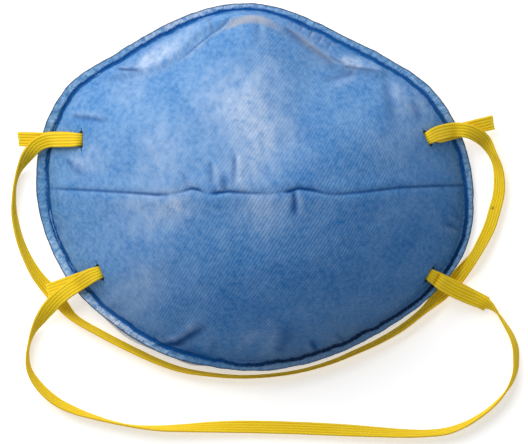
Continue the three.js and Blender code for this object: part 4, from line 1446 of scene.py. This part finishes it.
WELD_LEFT, WELD_LEFT_SHARE = (-0.064, -0.050), 0.28  # x over which the weld is darker at the left too, and how far
EDGE_FADE = (0.00015, 0.0006)  # insets over which the painted shade on the cut edge ends
CREASE_FADE = (0.0001, 0.0008)  # distances from the crease's line over which its painted shade ends
NOSE_FOLDS = (0.030, 0.040)  # y over which the folds change to the colour of those by the nose


def dyed_colour(wires, look, bond, fibres, deeper_in_shade):
    """The dyed cloth: clouds of dye, darker in places, painted shade towards the chin and in the
    gathers' pockets, pale loose patches with painted highlights on the lit facets by the nose and on
    the swellings beside the folds, and pressed bonds.
    """
    mix, cloth, pale = wires.mix, wires.uv("cloth"), wires.value("pale")
    broad = wires.clouds(cloth, BROAD_CLOUDS)
    small = wires.clouds(wires.scaled(cloth, 1.0, 0.7), SMALL_CLOUDS)
    flecks = wires.clouds(wires.turned(cloth, 30), FLECKS)
    # Painted shade: the mix leans to the deep colour towards the chin, at the lower right
    dye = 0.22 + broad * 0.36 + small * 0.28 + flecks * 0.38 - deeper_in_shade * look.chin_shade_share
    colour = mix(dye.clamped(), look.deep_and_shade_colour, look.cloth_colour)
    # Darker patches, with painted shade in the chin fold's pocket and in the gathers
    colour = mix(wires.value("darker_and_pocket_shade") * 0.6, colour, look.deep_and_shade_colour)
    # Pale loose fibres, with the painted highlights that the pale patches and fold swellings carry
    loose = (pale * 0.8 + broad * 0.15) * (0.45 + small * 0.75)
    loose = (loose + flecks * 0.16).clamped() * (1.0 - deeper_in_shade * 0.5)
    colour = mix(loose, colour, look.pale_and_highlight_colour)
    # Painted highlight: the brightest pale places, the lit facets by the nose, are whitened
    colour = mix(pale.span(0.7, 1.0, 0.0, 0.3) * (0.1 + flecks), colour, look.frayed_and_highlight_colour)
    pressed = (0.06 + deeper_in_shade * 0.62) * (0.2 + small * 1.2) * bond
    colour = mix(pressed, colour, look.deep_and_shade_colour)
    return mix(fibres * 0.12, colour, look.pale_and_highlight_colour)


def flange_colour(wires, look, blots, ticks):
    """The pressed rim: wrinkled, darker in places with painted shade at the lower right, and frayed
    white in others.
    """
    frayed = wires.value("frayed")
    colour = wires.mix(blots * 0.75 + ticks * 0.25, look.flange_shade, look.flange_colour)
    # Darker where frayed is below 0: painted shade at the lower right
    colour = wires.mix((frayed * -0.8).clamped(), colour, look.flange_shade)
    whitened = (frayed * blots.span(0.0, 1.0, 0.1, 0.85)).clamped()
    return wires.mix(whitened, colour, look.frayed_and_highlight_colour)


def weld_colour(wires, look, x, to_chin):
    """The fused line, darkened by painted shade towards the chin, and darker a little at the left."""
    at_left = x.span(*WELD_LEFT, 1.0, 0.0) * WELD_LEFT_SHARE
    deeper_in_shade = wires.maths("MAXIMUM", at_left, to_chin.span(*WELD_SHADE_OVER))
    return wires.mix(deeper_in_shade, look.weld_colour, look.weld_shade)


def marked(wires, look, colour, y, specks):
    """A colour with painted shade in the crease and in the folds, and the clip showing through."""
    crease = abs(wires.value("crease_offset")).span(*CREASE_FADE, 1.0, 0.0)
    crease = (crease * wires.value("crease_shade")).clamped()
    # Painted shade in the crease
    colour = wires.mix(crease * 0.95, colour, look.crease_shade_colour)
    # Painted shade inside the folds' valleys
    fold_shade_colour = wires.mix(y.span(*NOSE_FOLDS), look.crease_shade_colour, look.fold_shade_colour)
    colour = wires.mix(wires.value("fold_shade") * 0.85, colour, fold_shade_colour)
    show = wires.value("clip_show") * (0.6 + specks * 0.4)
    return wires.mix(show, colour, look.clip_colour)


def cover_material():
    """Blue bonded nonwoven with painted shade that darkens and greys it towards the chin, and its
    flange, cut edge, weld and marks, with painted shade on the edge, in the crease and in the folds.
    """
    look = bpy.context.scene.respirator_cover
    material, wires, shader = new_material("bonded_cloth")
    mix, place, inset = wires.mix, wires.place(), wires.value("edge_inset")
    x, y, _ = wires.split(place)
    to_chin = x * CHIN_LEAN - y
    # A ramp of painted shade towards the chin, at the lower right; it also strengthens the bonds' bump
    # there
    deeper_in_shade = to_chin.span(*CHIN_SHADE_OVER)
    bond, fibres, bonded_height = wires.bonds(wires.uv("cloth"), look.bond_pitch)
    colour = dyed_colour(wires, look, bond, fibres, deeper_in_shade)

    blots = wires.noise(wires.scaled(place, BLOTS, BLOTS, 0.0), detail=4.0, roughness=0.6)
    blots = blots.span(0.34, 0.66)
    specks = wires.noise(wires.scaled(place, SPECKS, SPECKS, 0.0))
    spoke = wires.vector("NORMALIZE", wires.from_crown(place))
    ticks = wires.noise(wires.scaled(spoke, TICKS, TICKS), detail=3.0, roughness=0.7)
    ticks = ticks.span(0.40, 0.62)
    offset = wires.value("weld_offset") + (specks - 0.5) * WELD_SPECKLE
    flange = offset.span(*FLANGE_FADE, 1.0, 0.0)
    weld = offset.span(*WELD_FADE_IN) * offset.span(*WELD_FADE_OUT, 1.0, 0.0)

    colour = mix(flange * 0.92, colour, flange_colour(wires, look, blots, ticks))
    # Painted shade on the cover's cut edge, which faces sideways
    colour = mix(inset.span(*EDGE_FADE, 1.0, 0.0) * 0.9, colour, look.edge_shade_colour)
    # Painted shade: the cloth greys towards the chin, at the lower right
    greyed_in_shade = (x * GREY_SHADE_LEAN - y).span(*GREY_SHADE_OVER) * look.grey_shade_share
    patched = wires.maths("MAXIMUM", wires.value("darker_and_pocket_shade") * 0.8, wires.value("pale"))
    spared = 1.0 - patched * inset.span(*GREY_SHADE_SPARED_FROM)
    colour = mix(greyed_in_shade * spared.clamped(), colour, look.grey_shade_colour)
    fused = weld * (0.91 + blots * 0.09)
    colour = mix(fused, colour, weld_colour(wires, look, x, to_chin))
    wires.link(marked(wires, look, colour, y, specks), shader["Base Color"])

    wires.link(0.92 - bond * 0.18 - weld * 0.12, shader["Roughness"])
    shader["Sheen Weight"].default_value = 0.06
    shader["Sheen Roughness"].default_value = 0.5
    shader["Sheen Tint"].default_value = look.pale_and_highlight_colour
    shader["Specular IOR Level"].default_value = 0.12
    height = bonded_height * ((0.5 + deeper_in_shade) * (1.0 - weld * 0.8)) + ticks * flange * 1.2
    wires.link(wires.bump(height, distance=0.00015), shader["Normal"])
    return material


def shell_material():
    """White moulded nonwoven: a fuzzy felt with faint bonds, creamy clouds and painted shade on its cut
    edge.
    """
    look = bpy.context.scene.respirator_shell
    material, wires, shader = new_material("moulded_felt")
    cloth = wires.uv("cloth")
    bond, _, height = wires.bonds(cloth, look.bond_pitch)
    colour = wires.mix(wires.clouds(cloth, size=0.012) * 0.5, look.felt_colour, look.cream_and_edge_shade_colour)
    colour = wires.mix(bond * 0.12, colour, look.cream_and_edge_shade_colour)
    # Painted shade on the shell's cut edge
    edge = wires.value("edge_inset").span(-0.0012, 0.0004, 1.0, 0.0)
    wires.link(wires.mix(edge * 0.25, colour, look.cream_and_edge_shade_colour), shader["Base Color"])
    wires.link(0.97 - bond * 0.1, shader["Roughness"])
    shader["Sheen Weight"].default_value = 0.3
    shader["Specular IOR Level"].default_value = 0.2
    wires.link(wires.bump(height, distance=0.00009), shader["Normal"])
    return material


def clip_material():
    """Soft aluminium strip: brushed along its run and dulled in clouds."""
    look = bpy.context.scene.respirator_clip
    material, wires, shader = new_material("soft_aluminium")
    strip = wires.uv("strip")
    brush = wires.noise(wires.scaled(strip, 250.0, 9000.0), detail=3.0, roughness=0.6)
    dull = wires.clouds(strip, size=0.006)
    colour = wires.mix(dull * 0.6, look.metal_colour, look.dull_colour)
    wires.link(wires.mix(brush * 0.3, colour, look.dull_colour), shader["Base Color"])
    shader["Metallic"].default_value = 1.0
    wires.link(0.32 + dull * 0.16 + brush * 0.1, shader["Roughness"])
    wires.link(wires.bump(brush, distance=0.00002), shader["Normal"])
    return material


def strap_material():
    """Ribbed elastic: ribs with braided yarn that slants one way and the other, furrows of the rubber's
    orange between them, darkened with painted shade, and paler frayed ends."""
    look = bpy.context.scene.respirator_straps
    material, wires, shader = new_material("ribbed_elastic")
    mix = wires.mix
    band = wires.uv("band")
    run, across, _ = wires.split(band)
    rib = across * (RIBS / BAND_WIDTH) + RIBS / 2
    number, local = wires.maths("FLOOR", rib), wires.maths("FRACT", rib)
    furrow = abs(local - 0.5).span(0.22, 0.44)
    side = wires.maths("MODULO", number, 2.0) * 2.0 - 1.0
    slanted = run / look.braid_pitch + local * side
    yarn = abs(wires.maths("FRACT", slanted) - 0.5).span(0.10, 0.45, 1.0, 0.0)
    tone = wires.clouds(wires.scaled(band, 0.35, 1.6), size=0.0022)
    streak = wires.noise(wires.scaled(band, 120.0, 4200.0))
    colour = mix(tone * 0.45, look.yarn_colour, look.light_colour)
    colour = mix(streak.span(0.5, 0.75) * 0.35, colour, look.orange_and_furrow_shade_colour)
    # Painted shade in the furrows between the ribs
    colour = mix(furrow * 0.75, colour, look.orange_and_furrow_shade_colour)
    colour = mix((1.0 - yarn) * 0.2, colour, look.orange_and_furrow_shade_colour)
    fray = wires.value("from_end").span(0.0002, 0.0012, 1.0, 0.0)
    colour = mix(fray * 0.45, colour, look.light_colour)
    # Painted shade in the slits, with the real stain
    slit_shade_and_stain = wires.maths("MAXIMUM", wires.value("tucked"), wires.value("stain"))
    wires.link(mix(slit_shade_and_stain * 0.9, colour, look.slit_shade_and_stain_colour), shader["Base Color"])
    wires.link(0.62 + tone * 0.15, shader["Roughness"])
    shader["Sheen Weight"].default_value = 0.05
    shader["Sheen Tint"].default_value = look.light_colour
    shader["Specular IOR Level"].default_value = 0.2
    height = yarn + streak * 0.5 - furrow * 0.5
    wires.link(wires.bump(height, distance=0.00008), shader["Normal"])
    return material


# ---------------------------------------------------------------- stage

FLOOR_HALF = 1.5  # half its side
FLOOR_GLOW = 0.5  # strength of the light that it gives off itself
UNDER_CUP = (1 / 0.068, 1 / 0.056, 1.0)  # one over the half sizes of the floor that the cup covers
KEY_TARGET, KEY_DISTANCE, KEY_SIZE = (0.0, 0.0, 0.02), 1.3, 1.1
KEY_COLOUR = (1.0, 0.985, 0.96)
VIEW_X, VIEW_Y = 0.0029, -0.0112  # what the camera stands over
VIEW_LEVEL = 0.006  # height at which the view is view_width wide


def floor_material():
    """A pale matt floor with the faintest clouds, which glows a little but for under the cup."""
    stage = bpy.context.scene.respirator_stage
    material, wires, shader = new_material("floor_paper")
    place = wires.place()
    tone = wires.noise(wires.scaled(place, 9.0, 9.0, 9.0))
    shade = tuple(0.97 * part for part in stage.floor_colour[:3]) + (1.0,)
    paper = wires.mix(tone, stage.floor_colour, shade)
    wires.link(paper, shader["Base Color"])
    shader["Roughness"].default_value = 0.95
    shader["Specular IOR Level"].default_value = 0.1
    reach = wires.vector("LENGTH", wires.scaled(wires.from_crown(place), *UNDER_CUP), output="Value")
    glow = wires.mix(reach.span(0.85, 1.0), (0.0, 0.0, 0.0, 1.0), paper)
    wires.link(glow, shader["Emission Color"])
    shader["Emission Strength"].default_value = FLOOR_GLOW
    return material


def make_floor():
    """A square of floor, one quad."""
    corners = FLOOR_HALF * np.array([[-1, -1, 0], [1, -1, 0], [1, 1, 0], [-1, 1, 0]])
    floor = new_object("floor", corners, [np.array([[0, 1, 2, 3]])])
    floor.data.materials.append(floor_material())


def make_key(stage):
    """The main light, a large soft disk that looks at the part."""
    data = bpy.data.lights.new("key", "AREA")
    data.shape, data.size, data.energy, data.color = "DISK", KEY_SIZE, stage.key_power, KEY_COLOUR
    lamp = bpy.data.objects.new("key", data)
    bpy.context.scene.collection.objects.link(lamp)
    bearing, height = math.radians(stage.key_bearing), math.radians(stage.key_height)
    level = math.cos(height)
    way = Vector((math.cos(bearing) * level, math.sin(bearing) * level, math.sin(height)))
    target = Vector(KEY_TARGET)
    lamp.location = target + way * KEY_DISTANCE
    lamp.rotation_euler = (target - lamp.location).to_track_quat("-Z", "Y").to_euler()


def make_stage():
    """The floor, a large soft key light up and to the left, a pale sky, and a camera straight
    above, so far up that the view is almost without perspective."""
    scene = bpy.context.scene
    stage = scene.respirator_stage
    make_floor()
    make_key(stage)
    world = bpy.data.worlds.new("studio")
    world.use_nodes = True
    background = world.node_tree.nodes["Background"].inputs
    background["Color"].default_value = stage.sky_colour
    background["Strength"].default_value = stage.sky_power
    scene.world = world
    scene.view_settings.view_transform = "Standard"
    data = bpy.data.cameras.new("camera")
    camera = bpy.data.objects.new("camera", data)
    scene.collection.objects.link(camera)
    camera.location = (VIEW_X, VIEW_Y, VIEW_LEVEL + stage.camera_height)
    data.lens = data.sensor_width * stage.camera_height / stage.view_width
    data.clip_start, data.clip_end = 0.1, 20.0
    scene.camera = camera


# ---------------------------------------------------------------- settings and operators


def srgb(*display):
    """A linear colour with alpha from display values of 0 to 255."""
    linear = [((c / 255 + 0.055) / 1.055) ** 2.4 if c > 10 else c / 255 / 12.92 for c in display]
    return (*linear, 1.0)


def colour_setting(name, description, *display):
    return bpy.props.FloatVectorProperty(
        name=name, description=description, default=srgb(*display),
        subtype="COLOR", size=4, min=0.0, max=1.0)


def number_setting(name, description, default, **more):
    return bpy.props.FloatProperty(name=name, description=description, default=default, **more)


# What several settings share: the limits and units of small lengths and of shares.
PITCH = {"min": 0.0003, "max": 0.003, "unit": "LENGTH", "precision": 5}
SHARE = {"min": 0.0, "max": 1.0, "subtype": "FACTOR"}


class RespiratorCoverSettings(bpy.types.PropertyGroup):
    # Darker dye in patches, and the colour of the painted shade towards the chin and in the gathers'
    # pockets
    deep_and_shade_colour: colour_setting("Deep", "Where the dye is deepest", 0, 108, 182)
    cloth_colour: colour_setting("Cloth", "The cover's usual blue", 88, 148, 206)
    # Loose fibres, and the painted highlights on lit facets and fold swellings
    pale_and_highlight_colour: colour_setting("Pale", "Loose fibres", 172, 196, 228)
    # The grey of the painted shade at the chin
    grey_shade_colour: colour_setting("Grey", "Where the dye has greyed at the chin", 106, 136, 166)
    weld_colour: colour_setting("Weld", "The fused line round the rim", 0, 86, 156)
    # The weld's colour in its painted shade towards the chin, and where it is darker at the left
    weld_shade: colour_setting("Weld shade", "The fused line where the dye is deepest", 0, 34, 66)
    flange_colour: colour_setting("Flange", "The pressed rim", 162, 204, 242)
    # Wrinkles of the pressed rim, and its painted shade at the lower right
    flange_shade: colour_setting("Flange shade", "Wrinkles of the pressed rim", 78, 138, 192)
    # Frayed white of the rim, and the painted highlight on the brightest pale places
    frayed_and_highlight_colour: colour_setting("Frayed", "Where the pressed rim has gone white", 222, 230, 244)
    # The painted shade on the cut edge
    edge_shade_colour: colour_setting("Edge", "The cut edge", 66, 76, 98)
    # The painted shade inside the folds by the nose
    fold_shade_colour: colour_setting("Fold", "Inside the folds by the nose", 62, 84, 132)
    # The painted shade inside creases and folds
    crease_shade_colour: colour_setting("Crease", "Inside pressed creases and folds", 0, 70, 136)
    clip_colour: colour_setting("Clip tint", "Where the nose clip shows through", 180, 182, 190)
    bond_pitch: number_setting("Bond pitch", "Distance between rows of bonds", 0.00104, **PITCH)
    # Share of the painted shade that darkens the cloth towards the chin
    chin_shade_share: number_setting("Depth at the chin", "How much deeper the dye is there", 0.33, **SHARE)
    # Share of the grey painted shade at the chin
    grey_shade_share: number_setting("Greying", "How much the dye has greyed at the chin", 0.75, **SHARE)


class RespiratorShellSettings(bpy.types.PropertyGroup):
    felt_colour: colour_setting("Felt", "The shell's white", 240, 239, 236)
    # Duller places of the shell, and the painted shade on its cut edge
    cream_and_edge_shade_colour: colour_setting("Cream", "Duller places of the shell", 218, 214, 206)
    bond_pitch: number_setting("Bond pitch", "Distance between rows of bonds", 0.0014, **PITCH)


class RespiratorClipSettings(bpy.types.PropertyGroup):
    metal_colour: colour_setting("Metal", "Bare aluminium", 206, 208, 212)
    dull_colour: colour_setting("Dull", "Dulled aluminium", 158, 162, 168)


class RespiratorStrapSettings(bpy.types.PropertyGroup):
    yarn_colour: colour_setting("Yarn", "The elastic's yellow", 255, 224, 24)
    light_colour: colour_setting("Light yarn", "Rubbed and stretched places", 255, 236, 76)
    # The rubber's orange between the ribs, darkened as painted shade in the furrows
    orange_and_furrow_shade_colour: colour_setting("Furrow", "Between the ribs", 238, 176, 8)
    # The painted shade in the slits, and the stain
    slit_shade_and_stain_colour: colour_setting("Tucked", "Where a band goes into its slit", 70, 52, 14)
    braid_pitch: number_setting("Braid pitch", "Distance between yarns along a rib", 0.0008, **PITCH)


class RespiratorStageSettings(bpy.types.PropertyGroup):
    floor_colour: colour_setting("Floor", "The floor", 244, 244, 244)
    sky_colour: colour_setting("Sky", "The light from all round", 232, 238, 250)
    sky_power: number_setting("Sky power", "Strength of the light from all round", 0.385, min=0.0)
    key_power: number_setting("Key power", "Power of the main light", 15.0, min=0.0)
    key_bearing: number_setting("Key bearing", "Where it stands, in degrees from +X", 125.0)
    key_height: number_setting("Key height", "Degrees of the main light over the floor", 44.0)
    camera_height: number_setting("Camera height", "Over the part", 2.2, min=0.3, unit="LENGTH")
    view_width: number_setting(
        "View width", "Width of what the camera sees", 0.1696, min=0.05, unit="LENGTH")


class RESPIRATOR_OT_stage(bpy.types.Operator):
    """Make the floor, the light and the camera"""

    bl_idname = "respirator.make_stage"
    bl_label = "Stage"

    def execute(self, context):
        make_stage()
        return {"FINISHED"}


class RESPIRATOR_OT_straps(bpy.types.Operator):
    """Make both elastic bands"""

    bl_idname = "respirator.make_straps"
    bl_label = "Straps"

    def execute(self, context):
        elastic = strap_material()
        make_band(
            "upper_band", "upper_strap", UPPER_LEFT, UPPER_RUN, UPPER_RIGHT,
            seed=21, material=elastic)
        make_band(
            "lower_band", "lower_strap", LOWER_LEFT, LOWER_RUN, LOWER_RIGHT,
            seed=31, material=elastic)
        return {"FINISHED"}


class RESPIRATOR_OT_cover(bpy.types.Operator):
    """Make the blue outer cover"""

    bl_idname = "respirator.make_cover"
    bl_label = "Cover"

    def execute(self, context):
        make_cover()
        return {"FINISHED"}


class RESPIRATOR_OT_shell(bpy.types.Operator):
    """Make the white inner shell"""

    bl_idname = "respirator.make_shell"
    bl_label = "Shell"

    def execute(self, context):
        make_shell()
        return {"FINISHED"}


class RESPIRATOR_OT_clip(bpy.types.Operator):
    """Make the nose clip between cover and shell"""

    bl_idname = "respirator.make_clip"
    bl_label = "Nose clip"

    def execute(self, context):
        make_clip()
        return {"FINISHED"}


class RESPIRATOR_PT_panel(bpy.types.Panel):
    """The respirator's operators and settings"""

    bl_label = "Respirator"
    bl_idname = "RESPIRATOR_PT_panel"
    bl_space_type = "VIEW_3D"
    bl_region_type = "UI"
    bl_category = "Respirator"

    def draw(self, context):
        for operator in OPERATORS:
            self.layout.operator(operator.bl_idname)
        for name, group in SETTINGS.items():
            box = self.layout.box()
            for label in group.__annotations__:
                box.prop(getattr(context.scene, name), label)


SETTINGS = {
    "respirator_cover": RespiratorCoverSettings,
    "respirator_shell": RespiratorShellSettings,
    "respirator_clip": RespiratorClipSettings,
    "respirator_straps": RespiratorStrapSettings,
    "respirator_stage": RespiratorStageSettings,
}
OPERATORS = (
    RESPIRATOR_OT_stage,
    RESPIRATOR_OT_straps,
    RESPIRATOR_OT_cover,
    RESPIRATOR_OT_shell,
    RESPIRATOR_OT_clip,
)


def register():
    for group in (*SETTINGS.values(), *OPERATORS, RESPIRATOR_PT_panel):
        bpy.utils.register_class(group)
    for name, group in SETTINGS.items():
        setattr(bpy.types.Scene, name, bpy.props.PointerProperty(type=group))


def unregister():
    for name in SETTINGS:
        delattr(bpy.types.Scene, name)
    for group in reversed((*SETTINGS.values(), *OPERATORS, RESPIRATOR_PT_panel)):
        bpy.utils.unregister_class(group)


def main():
    register()
    for operator in OPERATORS:
        _, action = operator.bl_idname.split(".")
        getattr(bpy.ops.respirator, action)()


if __name__ == "__main__":
    main()
